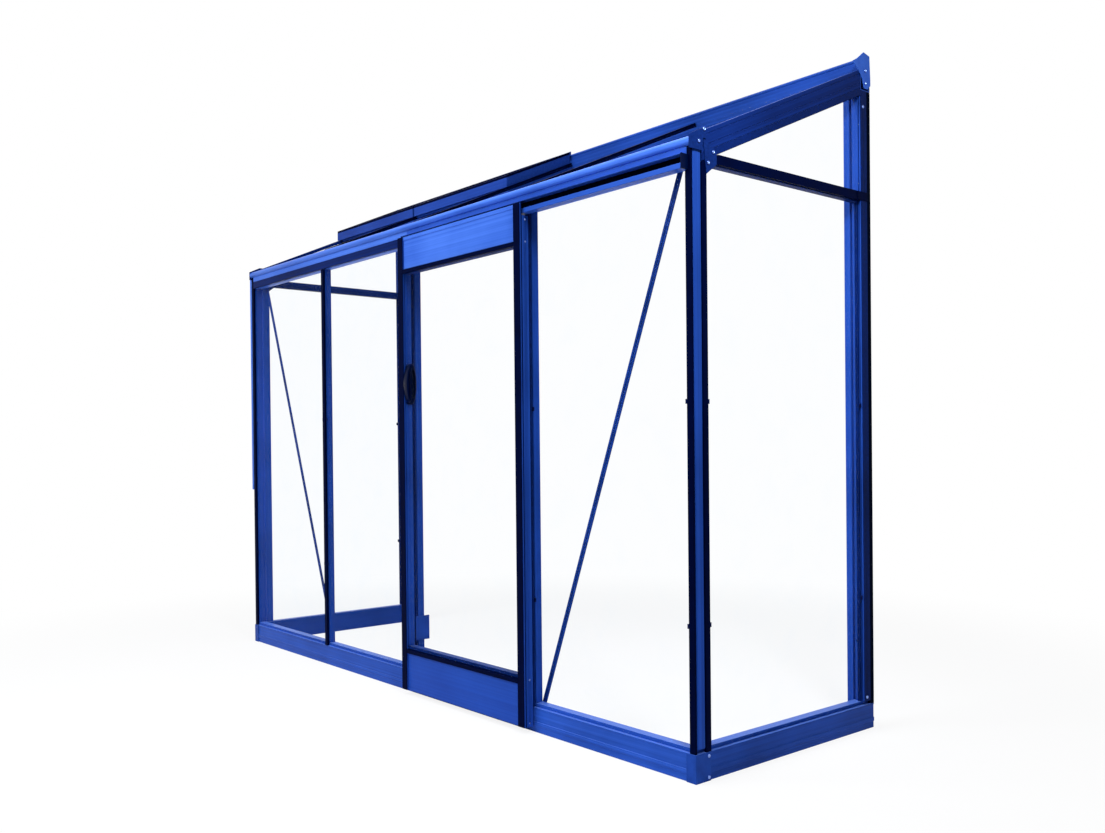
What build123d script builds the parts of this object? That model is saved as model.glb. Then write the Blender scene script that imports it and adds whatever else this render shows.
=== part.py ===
from build123d import *
import os
from math import atan2, cos, degrees, hypot, radians, sin, sqrt, tan

os.makedirs("parts", exist_ok=True)

# A lean-to greenhouse for a balcony: an aluminium frame against a house wall, glazed on
# the front, the ends and the roof, with a sliding door outside the front and two roof
# vents. Millimetres, Z up, X along the wall, Y towards the wall. The origin is the middle
# of the overall footprint, on the ground.

# Overall sizes
LENGTH = 2980.0  # over the two end faces
DEPTH = 900.0  # from the front face to the house wall
EAVES = 1830.0  # top of the eaves beam
ROOF_ANGLE = 24.0  # degrees
ROOF_LIFT = 28.0  # roof surface above the eaves beam, on the front face
BAYS = 4
VENT_BAYS = (0, 1)  # counted from the left
DOOR_BAY = 2

# Glazing: panes lie against the frame and black cappings hold them there
GLASS = 4.0
CAPPING = 8.0  # thickness of a capping's cover
CAPPING_WIDTH = 22.0
STEM = 4.0  # width of the capping's stem between two panes
STEM_GAP = 1.0  # from the stem to a pane's edge
PANE_LAP = 25.0  # pane over the eaves beam
JOINT = 0.5  # between neighbouring cappings and between the rails of a frame
CLIP = (10.0, 3.0, 14.0)  # glazing clip: width, thickness, height
CLIP_HEIGHTS = (450.0, 1100.0)

# Base rails
BASE_DEPTH = 45.0
BASE_TOP = 96.0
LEDGE = 84.0  # the panes stand on it
BASE_WALL = 3.0
BASE_SET = 2.0  # web behind the rib and the lip
RIB = (22.0, 36.0)
LIP = 4.0
COVER = 2.0  # corner cover plate
COVER_FRONT = 36.0
COVER_SIDE = 62.0
COVER_BOLTS = ((53.0, 73.0), (53.0, 11.0))  # back from the front, up

# Posts and bars
BAR_DEPTH = 28.0
BAR_WALL = 2.0
CORNER_INSET = 13.0  # end face to the middle of the corner's front capping
CORNER_WIDTH = 24.0
CORNER_DEPTH = 79.0
CORNER_NOSE = 3.0
CORNER_BEVEL = 3.0
CORNER_FRONT = 43.0
CAPPING_STEP = 2.0  # bare metal beside a capping
CORNER_STEM = 10.0  # front stem's middle, in from the end
END_STEM = 7.0  # end stem's middle, in from its capping's edge
SEAL = 20.0  # rubber between a wall post and the wall
WALL_POST_DEPTH = 35.0
WALL_POST_WIDTH = 69.0
WALL_POST_GROOVE = (37.0, 46.0, 10.0)  # along its front: in from the end, and its depth
PANE_HOLD = 12.0  # depth that an end pane stands in a wall post's groove
PANE_BEAD = (12.0, 6.0)  # bead beside that groove: width and thickness
WALL_HOLE = 4.0  # radius
WALL_HOLE_IN = 29.0  # in from the end
WALL_HOLES = (300.0, 1800.0)

# Eaves, gutter and downpipe
BEAM_HEIGHT = 55.0
FASCIA = 22.0
BEAM_WALL = 3.0
GUTTER_WALL = 3.0
GUTTER_NOSE = 27.0  # height of the rounded nose
GUTTER_BULGE = 9.0
GUTTER_BACK = 32.0  # height of the rear wall
END_PLATE = 3.0
GUTTER_PLATE_LAP = 18.0  # end plate over the rafter's foot
GUTTER_CAP_BOLTS = ((53.0, 54.0), (30.0, 16.0))  # back, above the eaves
PIPE_RADIUS = 14.0
PIPE_WALL = 2.0
PIPE_BEND = 20.0  # radius of the elbow
PIPE_BACK = 18.0  # axis behind the front face
PIPE_FOOT = 765.0  # height of its open end

# Gable and roof
TIE_DROP = 5.0  # tie below the eaves
TIE_HEIGHT = 35.0
TIE_WIDTH = 26.0
RAFTER_DEPTH = 81.0
RAFTER_WIDTH = 38.0
RAFTER_REBATE = 14.0  # width of the step that carries the roof glass
RAFTER_FACE = 57.0  # height of its outer face, above the capping of the gable glass
RAFTER_CAPPING = 2.0  # bare metal below that capping
RAFTER_LAP = 21.0  # gable glass over the rafter
RAFTER_GROOVES = (-16.0, -44.0)  # bottoms of the grooves, below the roof surface
GROOVE = (4.0, 1.5)  # height and depth
ROOF_BAR_DEPTH = 30.0
ROOF_OVERHANG = 20.0  # front edge of the roof glass, behind the front face
SILL_BACK = 30.0  # sill's rear edge behind the vent's front edge
SILL_DEPTH = 28.0
SILL_STEP = 8.0
GUSSET = ((51.0, 26.0), (108.0, -2.0), (108.0, -40.0), (64.0, -73.0))  # back, above the eaves
GUSSET_GAP = 2.0
GUSSET_BOLTS = ((92.0, -6.0), (70.0, -40.0))
BRACE = (20.0, 3.0)  # width and thickness of a wind brace
BRACE_IN = 75.0  # its top end, in from the end face
BRACE_FOOT = 7.0  # its bottom end, short of the next bar's middle
BRACE_DROP = 30.0  # top end below the eaves
BRACE_SINK = 20.0  # bottom end below the base's top

# Wall plate and hinge
PLATE_SEAL = 5.0
PLATE_DEPTH = 50.0
PLATE_BELOW = 69.0  # body below the roof surface at its front face
PLATE_ABOVE = 11.0
PLATE_WALL = 3.0
UPSTAND = 45.0
UPSTAND_BEAD = 4.0  # radius of the bead along its top
PLATE_CAP = ((-47.0, 87.0), (-21.0, 101.0), (16.0, 129.0), (50.0, 122.0), (55.0, 42.0), (55.0, 23.0),
             (37.0, 8.0), (18.0, 8.0), (7.0, 40.0), (-11.0, 61.0))  # behind its front, above its bottom
PLATE_CAP_BOLTS = ((23.0, 25.0), (23.0, 67.0))
HINGE_BACK = 11.0  # hinge axis behind the plate's front face
HINGE_ABOVE = 26.4  # and above the roof surface
BEAD_RADIUS = 6.0
NECK = 6.0
HINGE_GAP = 0.3

# Roof vents
VENT_LENGTH = 359.0  # front edge to the wall plate, level
VENT_LIFT = 0.5  # over the cappings
VENT_BODY = 36.0
VENT_BEAD = 6.0  # bead that holds the vent's glass
VENT_RAIL = 22.0
VENT_EDGE = 8.0  # glass in from the frame's edge
VENT_BACK_GAP = 3.0
VENT_LEAF = 14.0  # rear leaf behind the hinge
VENT_SIDE_GAP = 2.0  # to the end face
VENT_HALF_GAP = 7.5  # to a shared bar's middle
VENT_INNER_GAP = 3.0  # to the door post's middle
STAY_LENGTH = 275.0
STAY = (20.0, 4.0)  # width and thickness
STAY_EYE = 6.0
STAY_PIN = 3.0
STAY_PLAY = 0.05
STAY_BACK = 11.0  # pivot behind the vent's lower rail
STAY_ABOVE = 12.0  # pivot above the roof surface
STAY_HOLES = (80.0, 135.0, 190.0, 245.0)
STAY_HOLE = 3.5
LUG = 4.0
LUG_GAP = 0.3

# Sliding door
DOOR_LAP = (22.5, 14.0)  # over the middle of the left and right door posts
DOOR_GAP = 5.0  # behind the door
DOOR_BOTTOM = 20.0
DOOR_DROP = 35.0  # door's top below the eaves
DOOR_HEAD = 40.0  # top panel above the door's frame
DOOR_BODY = 28.0
STILE = 34.0
STILE_COVER = 3.0  # black cover on its face
RAIL = 28.0
KICK_RISE = 146.0  # kick rail above the door's bottom
LINTEL_DROP = 103.0  # lintel rail below the top of the door's frame
PANEL_LAP = 10.0
PANEL_HEM = (2.0, 14.0)  # folded edge of the top panel: thickness, height
HANDLE = (30.0, 44.0, 160.0)  # reach, width, height
HANDLE_HEIGHT = 1220.0
HANDLE_PAST = 4.0  # past the door's rear face
HANDLE_ROUND = 6.0
HANDLE_GAP = 0.3  # to the pane that passes through it
HANDLE_HOLLOW = (16.0, 20.0, 116.0)  # depth, width, height
ROLLER_RADIUS = 18.0
ROLLER_WIDTH = 14.0
ROLLER_IN = 110.0  # in from the door's edge
ROLLER_SPOKE = 11.0  # ring of holes: radius, count, hole radius
ROLLER_HOLES = 5
ROLLER_HOLE = 2.5
ROLLER_GAP = 0.3
AXLE = 4.0
AXLE_PLAY = 0.05
HANGER = (60.0, 3.0)  # width and thickness
HANGER_BACK = 29.0  # its rear face, before the front face
HANGER_HEAD = 12.0  # above the axle
SHOE = (40.0, 4.0, 24.0, 75.0)  # guide shoe: width, thickness, bottom, top
SHOE_IN = 60.0
SHOE_NOSE = 45.0  # bottom of the nose that runs between the base's rib and lip
SHOE_GAP = 0.6

# Track
TRACK = 3.0  # wall of the track
TRACK_REACH = 28.0
TRACK_CLEAR = 7.0  # over the door's frame
TRACK_DROP = 2.0  # its top below the eaves
TRACK_LIP = 16.0
TRACK_HOOD = 44.0  # hood's top above the track's bottom
TRACK_LEFT = 20.0  # past the left door post's middle
TRACK_RIGHT = 15.0  # short of the end face
STOP = 4.0  # thickness of the stop that closes an end
JAMB_PLATE = (3.0, 62.0, 210.0, 305.0)  # thickness, depth, bottom, top

# Bolts and screws: head radius, head height, shank radius
BOLT = (5.0, 4.0, 3.0)
SCREW = (4.0, 2.0, 2.0)
BOLT_PLAY = 0.2
POST_BOLT_BACK = 13.0  # on a wall post, behind its front
POST_BOLT_RISE = 14.0  # above the base
POST_BOLT_DROP = 55.0  # and below the wall plate

# Places worked out from the sizes
ROOF = radians(ROOF_ANGLE)
GLAZING = CAPPING + GLASS
PANE_SET = STEM / 2 + STEM_GAP
OVER_LEFT = END_PLATE + PIPE_BEND + PIPE_RADIUS
OVER_RIGHT = END_PLATE + BOLT[1]
BOLT_HOLE = BOLT[2] + BOLT_PLAY
DOOR_FRONT = -(DOOR_GAP + DOOR_BODY + GLASS + CAPPING)
LEFT = -(LENGTH + OVER_RIGHT - OVER_LEFT) / 2
RIGHT = LEFT + LENGTH
FRONT = -(DEPTH + DOOR_FRONT) / 2
PITCH = (LENGTH - 2 * CORNER_INSET) / BAYS
BARS = [LEFT + CORNER_INSET + PITCH * i for i in range(1, BAYS)]
DOOR_POSTS = (BARS[DOOR_BAY - 1], BARS[DOOR_BAY])
SIDES = {"left": -1, "right": 1}
BAR_TOP = EAVES - BEAM_HEIGHT
PANE_TOP = BAR_TOP + PANE_LAP
FASCIA_BOTTOM = EAVES - FASCIA
END_CAPPING = CORNER_FRONT + CAPPING_STEP
WALL_POST_BACK = DEPTH - SEAL
WALL_POST_FRONT = WALL_POST_BACK - WALL_POST_DEPTH
END_PANE = (END_CAPPING + END_STEM + PANE_SET, WALL_POST_FRONT + PANE_HOLD - STEM_GAP)
TIE_TOP = EAVES - TIE_DROP
TIE_BOTTOM = TIE_TOP - TIE_HEIGHT
TIE_MIDDLE = TIE_TOP - TIE_HEIGHT / 2
ROOF_FRONT = EAVES + ROOF_LIFT
PLATE_FRONT = DEPTH - PLATE_SEAL - PLATE_DEPTH
PLATE_BACK = DEPTH - PLATE_SEAL
PLATE_BOTTOM = ROOF_FRONT + tan(ROOF) * PLATE_FRONT - PLATE_BELOW
PLATE_TOP = PLATE_BOTTOM + PLATE_BELOW + PLATE_ABOVE
HINGE_Y = PLATE_FRONT + HINGE_BACK
HINGE_Z = ROOF_FRONT + tan(ROOF) * HINGE_Y + HINGE_ABOVE / cos(ROOF)
VENT_TOP = VENT_LIFT + VENT_BODY + GLASS + VENT_BEAD
VENT_BACK = PLATE_FRONT - VENT_BACK_GAP
VENT_FRONT = PLATE_FRONT - VENT_LENGTH
DOOR_LEFT = DOOR_POSTS[0] - DOOR_LAP[0]
DOOR_RIGHT = DOOR_POSTS[1] + DOOR_LAP[1]
DOOR_TOP = EAVES - DOOR_DROP
DOOR_BODY_TOP = DOOR_TOP - DOOR_HEAD
KICK = DOOR_BOTTOM + KICK_RISE
LINTEL = DOOR_BODY_TOP - LINTEL_DROP
TRACK_BOTTOM = DOOR_BODY_TOP + TRACK_CLEAR
TRACK_TOP = EAVES - TRACK_DROP
DOOR_BACK = -DOOR_GAP
DOOR_FACE = DOOR_BACK - DOOR_BODY
DOOR_GLASS_FRONT = DOOR_FACE - GLASS
RAILS = (DOOR_BOTTOM, KICK, LINTEL, DOOR_BODY_TOP - RAIL)
ROLLER_Z = TRACK_BOTTOM + TRACK + ROLLER_GAP + ROLLER_RADIUS
ROLLER_MIDDLE = -TRACK_REACH / 2
ROLLERS = {"left": DOOR_LEFT + ROLLER_IN, "right": DOOR_RIGHT - ROLLER_IN}


# Helpers: y is measured back from the front face, "inward" from an end face
def end_x(side, inward):
    """X of a place so far in from one end."""
    return RIGHT - inward if side > 0 else LEFT + inward


def end_span(side, start, stop):
    """X range between two places in from one end."""
    return tuple(sorted((end_x(side, start), end_x(side, stop))))


def around(centre, width):
    """Range of the given width about a centre."""
    return (centre - width / 2, centre + width / 2)


def roof_z(y, n=0.0):
    """Height of the roof surface at y, or of a layer n above it."""
    return ROOF_FRONT + tan(ROOF) * y + n / cos(ROOF)


def roof_outline(y, n):
    """Side outline of a layer of the roof with plumb-cut ends."""
    return [(y[0], roof_z(y[0], n[0])), (y[1], roof_z(y[1], n[0])),
            (y[1], roof_z(y[1], n[1])), (y[0], roof_z(y[0], n[1]))]


def side_plane(x):
    """Side view at x: local x runs back from the front face, local y up."""
    return Plane(origin=(x, FRONT, 0), x_dir=(0, 1, 0), z_dir=(1, 0, 0))


def plan_plane(side, z):
    """Plan view at z: local x runs in from one end, local y back from the front."""
    return Plane(origin=(end_x(side, 0), FRONT, z), x_dir=(-side, 0, 0), z_dir=(0, 0, -side))


def section_plane(side):
    """Upright section on the front face: local x runs in from one end, local y up."""
    return Plane(origin=(end_x(side, 0), FRONT, 0), x_dir=(-side, 0, 0), z_dir=(0, side, 0))


def stay_plane(x):
    """Side view at a vent's stay: local x runs up the slope from its pivot."""
    y = VENT_FRONT + VENT_RAIL + STAY_BACK
    slope = (0, cos(ROOF), sin(ROOF))
    return Plane(origin=(x, FRONT + y, roof_z(y, STAY_ABOVE)), x_dir=slope, z_dir=(1, 0, 0))


def block(x, y, z, mode=Mode.ADD):
    """Add or cut a box over the given ranges."""
    with Locations((sum(x) / 2, FRONT + sum(y) / 2, sum(z) / 2)):
        Box(x[1] - x[0], y[1] - y[0], z[1] - z[0], mode=mode)


def roof_strip(x, y, n, mode=Mode.ADD):
    """Add or cut a layer of the roof over the given ranges."""
    corners = [side_plane(x[0]).from_local_coords((a, b, 0)) for a, b in roof_outline(y, n)]
    extrude(Face(Wire.make_polygon(corners)), amount=x[1] - x[0], dir=(1, 0, 0), mode=mode)


def rod(start, direction, radius, length, mode=Mode.ADD):
    """Add or cut a round bar from a start point, given with y behind the front face."""
    with Locations(Plane(origin=(start[0], FRONT + start[1], start[2]), z_dir=direction)):
        Cylinder(radius, length, align=(Align.CENTER, Align.CENTER, Align.MIN), mode=mode)


def save(piece, name):
    """Name a finished piece and write it."""
    piece.part.label = name
    export_step(piece.part, f"parts/{name}.step")


def rafter_room(side):
    """The room one rafter takes, to be cut from the pieces that run up to it."""
    span = end_span(side, 0, RAFTER_WIDTH)
    with BuildPart() as room:
        roof_strip(span, (BASE_DEPTH, PLATE_FRONT), (-RAFTER_DEPTH, RAFTER_DEPTH))
    return room.part


RAFTER_ROOMS = {side: rafter_room(side) for side in SIDES.values()}


# Base: three rails, mitred at the front corners
BASE_OUTLINE = [(BASE_SET, 0), (BASE_DEPTH, 0), (BASE_DEPTH, BASE_TOP), (GLAZING, BASE_TOP),
                (GLAZING, LEDGE), (0, LEDGE), (0, LEDGE - LIP), (BASE_SET, LEDGE - LIP),
                (BASE_SET, RIB[1]), (0, RIB[1]), (0, RIB[0]), (BASE_SET, RIB[0])]
BASE_CORE = [(BASE_SET + BASE_WALL, BASE_WALL), (BASE_DEPTH - BASE_WALL, BASE_WALL),
             (BASE_DEPTH - BASE_WALL, BASE_TOP - BASE_WALL), (GLAZING + BASE_WALL, BASE_TOP - BASE_WALL),
             (GLAZING + BASE_WALL, LEDGE - BASE_WALL), (BASE_SET + BASE_WALL, LEDGE - BASE_WALL)]


def mitre(side):
    """Plane of the mitre at one front corner, facing the front rail."""
    return Plane(origin=(end_x(side, 0), FRONT, 0), z_dir=(-side, -1, 0))


with BuildPart() as base_front:
    with BuildSketch(side_plane(LEFT)):
        Polygon(*BASE_OUTLINE, align=None)
        Polygon(*BASE_CORE, align=None, mode=Mode.SUBTRACT)
    extrude(amount=LENGTH)
    for side in SIDES.values():
        split(bisect_by=mitre(side), keep=Keep.TOP)
save(base_front, "base_front")

for name, side in SIDES.items():
    with BuildPart() as base_end:
        with BuildSketch(section_plane(side)):
            Polygon(*BASE_OUTLINE, align=None)
            Polygon(*BASE_CORE, align=None, mode=Mode.SUBTRACT)
        extrude(amount=side * DEPTH)
        split(bisect_by=mitre(side), keep=Keep.BOTTOM)
    save(base_end, f"base_{name}")

with BuildPart() as base_corner_covers:
    for side in SIDES.values():
        with BuildSketch(plan_plane(side, 0)):
            Polygon((-COVER, -COVER), (COVER_FRONT, -COVER), (COVER_FRONT, 0), (0, 0),
                    (0, COVER_SIDE), (-COVER, COVER_SIDE), align=None)
        extrude(amount=-side * LEDGE)
        for y, z in COVER_BOLTS:
            rod((end_x(side, 0), y, z), (side, 0, 0), BOLT_HOLE, COVER, mode=Mode.SUBTRACT)
save(base_corner_covers, "base_corner_covers")


# Posts and bars
CORNER_OUTLINE = [(CORNER_NOSE, GLAZING + CORNER_BEVEL), (CORNER_NOSE + CORNER_BEVEL, GLAZING),
                  (CORNER_WIDTH, GLAZING), (CORNER_WIDTH, BASE_DEPTH), (RAFTER_WIDTH, BASE_DEPTH),
                  (RAFTER_WIDTH, CORNER_DEPTH), (GLAZING, CORNER_DEPTH),
                  (GLAZING, CORNER_FRONT), (CORNER_NOSE, CORNER_FRONT)]
PANE_GROOVE = (CAPPING - JOINT, GLAZING + JOINT)
GROOVE_END = WALL_POST_FRONT + WALL_POST_GROOVE[2]
HOLD_END = WALL_POST_FRONT + PANE_HOLD
WALL_POST_OUTLINE = [(COVER, WALL_POST_FRONT), (COVER, WALL_POST_BACK), (WALL_POST_WIDTH, WALL_POST_BACK),
                     (WALL_POST_WIDTH, WALL_POST_FRONT), (WALL_POST_GROOVE[1], WALL_POST_FRONT),
                     (WALL_POST_GROOVE[1], GROOVE_END), (WALL_POST_GROOVE[0], GROOVE_END),
                     (WALL_POST_GROOVE[0], WALL_POST_FRONT), (PANE_GROOVE[1], WALL_POST_FRONT),
                     (PANE_GROOVE[1], HOLD_END), (PANE_GROOVE[0], HOLD_END),
                     (PANE_GROOVE[0], WALL_POST_FRONT)]
POST_BOLT_Y = WALL_POST_FRONT + POST_BOLT_BACK
POST_BOLTS = (BASE_TOP + POST_BOLT_RISE, PLATE_BOTTOM - POST_BOLT_DROP)

for name, side in SIDES.items():
    with BuildPart() as corner_post:
        with BuildSketch(plan_plane(side, BASE_TOP)):
            Polygon(*CORNER_OUTLINE, align=None)
            offset(amount=-BAR_WALL, kind=Kind.INTERSECTION, mode=Mode.SUBTRACT)
        extrude(amount=-side * (EAVES - BASE_TOP))
        add(RAFTER_ROOMS[side], mode=Mode.SUBTRACT)
    save(corner_post, f"corner_post_{name}")

    with BuildPart() as wall_post:
        with BuildSketch(plan_plane(side, 0)):
            Polygon(*WALL_POST_OUTLINE, align=None)
            offset(amount=-BAR_WALL, kind=Kind.INTERSECTION, mode=Mode.SUBTRACT)
        extrude(amount=-side * PLATE_BOTTOM)
        block(end_span(side, 0, BASE_DEPTH), (WALL_POST_FRONT, WALL_POST_BACK), (0, BASE_TOP),
              mode=Mode.SUBTRACT)
        for z in WALL_HOLES:
            rod((end_x(side, WALL_HOLE_IN), WALL_POST_FRONT, z), (0, 1, 0), WALL_HOLE,
                WALL_POST_DEPTH, mode=Mode.SUBTRACT)
        add(RAFTER_ROOMS[side], mode=Mode.SUBTRACT)
    save(wall_post, f"wall_post_{name}")

for name, x in zip(("glazing_bar", "door_post_left", "door_post_right"), BARS):
    with BuildPart() as bar:
        block(around(x, CAPPING_WIDTH), (GLAZING, GLAZING + BAR_DEPTH), (BASE_TOP, BAR_TOP))
        block(around(x, CAPPING_WIDTH - 2 * BAR_WALL), (GLAZING + BAR_WALL, GLAZING + BAR_DEPTH - BAR_WALL),
              (BASE_TOP, BAR_TOP), mode=Mode.SUBTRACT)
    save(bar, name)

with BuildPart() as wall_seals:
    for side in SIDES.values():
        block(end_span(side, 0, WALL_POST_WIDTH), (WALL_POST_BACK, DEPTH), (0, PLATE_BOTTOM - JOINT))
        block(end_span(side, 0, BASE_DEPTH), (WALL_POST_BACK, DEPTH), (0, LEDGE), mode=Mode.SUBTRACT)
        block(end_span(side, GLAZING, BASE_DEPTH), (WALL_POST_BACK, DEPTH), (LEDGE, BASE_TOP),
              mode=Mode.SUBTRACT)
        for z in WALL_HOLES:
            rod((end_x(side, WALL_HOLE_IN), WALL_POST_BACK, z), (0, 1, 0), WALL_HOLE, SEAL,
                mode=Mode.SUBTRACT)
    block((LEFT, RIGHT), (PLATE_BACK, DEPTH), (PLATE_BOTTOM, PLATE_TOP))
save(wall_seals, "wall_seals")


# Gable ties, eaves beam, gutter and downpipe
for name, side in SIDES.items():
    with BuildPart() as gable_tie:
        run = (CORNER_DEPTH, WALL_POST_FRONT)
        block(end_span(side, GLAZING, GLAZING + TIE_WIDTH), run, (TIE_BOTTOM, TIE_TOP))
        block(end_span(side, GLAZING + BAR_WALL, GLAZING + TIE_WIDTH - BAR_WALL), run,
              (TIE_BOTTOM + BAR_WALL, TIE_TOP - BAR_WALL), mode=Mode.SUBTRACT)
        add(RAFTER_ROOMS[side], mode=Mode.SUBTRACT)
    save(gable_tie, f"gable_tie_{name}")

with BuildPart() as eaves_beam:
    with BuildSketch(side_plane(end_x(-1, CORNER_WIDTH))):
        Polygon((GLAZING, BAR_TOP), (BASE_DEPTH, BAR_TOP), (BASE_DEPTH, EAVES), (0, EAVES),
                (0, FASCIA_BOTTOM), (GLAZING, FASCIA_BOTTOM), align=None)
        Polygon((GLAZING + BEAM_WALL, BAR_TOP + BEAM_WALL), (BASE_DEPTH - BEAM_WALL, BAR_TOP + BEAM_WALL),
                (BASE_DEPTH - BEAM_WALL, EAVES - BEAM_WALL), (GLAZING + BEAM_WALL, EAVES - BEAM_WALL),
                align=None, mode=Mode.SUBTRACT)
    extrude(amount=LENGTH - 2 * CORNER_WIDTH)
save(eaves_beam, "eaves_beam")

# The nose is one arc through the floor's edge, the bulge and the top, and its inside is parallel
NOSE_RADIUS = ((GUTTER_NOSE / 2) ** 2 + GUTTER_BULGE**2) / (2 * GUTTER_BULGE)
NOSE_CENTRE = NOSE_RADIUS - GUTTER_BULGE
NOSE_INNER = NOSE_RADIUS - GUTTER_WALL
NOSE_EDGE = NOSE_CENTRE - sqrt(NOSE_INNER**2 - (GUTTER_NOSE / 2 - GUTTER_WALL) ** 2)
NOSE_MIDDLE = EAVES + GUTTER_NOSE / 2
GUTTER_FLOOR = EAVES + GUTTER_WALL
GUTTER_LIP = EAVES + GUTTER_NOSE

with BuildPart() as gutter:
    with BuildSketch(side_plane(LEFT)):
        with BuildLine():
            Polyline((0, EAVES), (BASE_DEPTH, EAVES), (BASE_DEPTH, EAVES + GUTTER_BACK),
                     (BASE_DEPTH - GUTTER_WALL, EAVES + GUTTER_BACK),
                     (BASE_DEPTH - GUTTER_WALL, GUTTER_FLOOR), (NOSE_EDGE, GUTTER_FLOOR))
            ThreePointArc((NOSE_EDGE, GUTTER_FLOOR), (GUTTER_WALL - GUTTER_BULGE, NOSE_MIDDLE),
                          (NOSE_EDGE, GUTTER_LIP - GUTTER_WALL))
            Line((NOSE_EDGE, GUTTER_LIP - GUTTER_WALL), (0, GUTTER_LIP))
            ThreePointArc((0, GUTTER_LIP), (-GUTTER_BULGE, NOSE_MIDDLE), (0, EAVES))
        make_face()
    extrude(amount=LENGTH)
save(gutter, "gutter")

# Each end plate closes the gutter and laps the rafter's foot; the left one has the outlet
PLATE_LAP = BASE_DEPTH + GUTTER_PLATE_LAP
GUSSET_OUTLINE = [(y, EAVES + z) for y, z in GUSSET]
GUSSET_TIP = GUSSET_OUTLINE[0]
TIP_OVER = GUSSET_TIP[1] + GUSSET_GAP
GUTTER_PLATE = [(-GUTTER_BULGE, EAVES - GUTTER_BULGE), (BASE_DEPTH, EAVES - GUTTER_BULGE),
                (GUSSET_TIP[0] - GUSSET_GAP, TIP_OVER), (PLATE_LAP, TIP_OVER),
                (PLATE_LAP, roof_z(PLATE_LAP)), (BASE_DEPTH, roof_z(PLATE_LAP)),
                (-GUTTER_BULGE, GUTTER_LIP + GUTTER_WALL)]
PIPE_Z = GUTTER_FLOOR + PIPE_RADIUS - PIPE_WALL

with BuildPart() as gutter_end_caps:
    for side in SIDES.values():
        with BuildSketch(side_plane(end_span(side, -END_PLATE, 0)[0])):
            Polygon(*GUTTER_PLATE, align=None)
        extrude(amount=END_PLATE)
    for y, z in GUTTER_CAP_BOLTS:
        rod((RIGHT, y, EAVES + z), (1, 0, 0), BOLT_HOLE, END_PLATE, mode=Mode.SUBTRACT)
    rod((LEFT, PIPE_BACK, PIPE_Z), (-1, 0, 0), PIPE_RADIUS - PIPE_WALL, END_PLATE, mode=Mode.SUBTRACT)
save(gutter_end_caps, "gutter_end_caps")

with BuildPart() as downpipe:
    with BuildLine() as route:
        TangentArc((LEFT - END_PLATE, FRONT + PIPE_BACK, PIPE_Z),
                   (LEFT - END_PLATE - PIPE_BEND, FRONT + PIPE_BACK, PIPE_Z - PIPE_BEND), tangent=(-1, 0, 0))
        Line((LEFT - END_PLATE - PIPE_BEND, FRONT + PIPE_BACK, PIPE_Z - PIPE_BEND),
             (LEFT - END_PLATE - PIPE_BEND, FRONT + PIPE_BACK, PIPE_FOOT))
    with BuildSketch(Plane(origin=route.line @ 0, z_dir=(-1, 0, 0))):
        Circle(PIPE_RADIUS)
        Circle(PIPE_RADIUS - PIPE_WALL, mode=Mode.SUBTRACT)
    sweep(path=route.line)
save(downpipe, "downpipe")


# Roof: end rafters, bars, cappings and the sills below the vents
for name, side in SIDES.items():
    run = (BASE_DEPTH, PLATE_FRONT)
    step = RAFTER_WIDTH - RAFTER_REBATE
    with BuildPart() as rafter:
        roof_strip(end_span(side, 0, step), run, (-RAFTER_FACE, 0))
        roof_strip(end_span(side, GLAZING, step), run, (-RAFTER_DEPTH, -RAFTER_FACE))
        roof_strip(end_span(side, step, RAFTER_WIDTH), run, (-RAFTER_DEPTH, -GLAZING))
        roof_strip(end_span(side, BASE_WALL, step - BASE_WALL), run, (BASE_WALL - RAFTER_FACE, -BASE_WALL),
                   mode=Mode.SUBTRACT)
        roof_strip(end_span(side, GLAZING + BASE_WALL, RAFTER_WIDTH - BASE_WALL), run,
                   (BASE_WALL - RAFTER_DEPTH, -RAFTER_FACE - BASE_WALL), mode=Mode.SUBTRACT)
        for n in RAFTER_GROOVES:
            roof_strip(end_span(side, 0, GROOVE[1]), run, (n, n + GROOVE[0]), mode=Mode.SUBTRACT)
    save(rafter, f"rafter_{name}")

with BuildPart() as roof_bars:
    for x in BARS:
        roof_strip(around(x, CAPPING_WIDTH), (BASE_DEPTH, PLATE_FRONT),
                   (-GLAZING - ROOF_BAR_DEPTH, -GLAZING))
save(roof_bars, "roof_bars")

ROOF_PANE_BACK = PLATE_FRONT - VENT_BACK_GAP
with BuildPart() as roof_cappings:
    for x in BARS:
        roof_strip(around(x, CAPPING_WIDTH), (ROOF_OVERHANG, ROOF_PANE_BACK), (-CAPPING, 0))
        roof_strip(around(x, STEM), (ROOF_OVERHANG, ROOF_PANE_BACK), (-GLAZING, -CAPPING))
save(roof_cappings, "roof_cappings")


def bay_span(bay, end_inset, bar_inset):
    """X range of a bay, inset from an end face or from a bar's middle."""
    low = LEFT + end_inset if bay == 0 else BARS[bay - 1] + bar_inset
    high = RIGHT - end_inset if bay == BAYS - 1 else BARS[bay] - bar_inset
    return (low, high)


SILL_END = VENT_FRONT + SILL_BACK
SILL_FRONT = SILL_END - SILL_DEPTH
with BuildPart() as vent_sills:
    for bay in VENT_BAYS:
        span = bay_span(bay, RAFTER_WIDTH, CAPPING_WIDTH / 2)
        roof_strip(span, (SILL_FRONT, SILL_END), (-GLAZING - ROOF_BAR_DEPTH, -GLAZING))
        roof_strip(span, (SILL_FRONT + SILL_STEP, SILL_END), (-GLAZING, 0))
save(vent_sills, "vent_sills")


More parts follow.
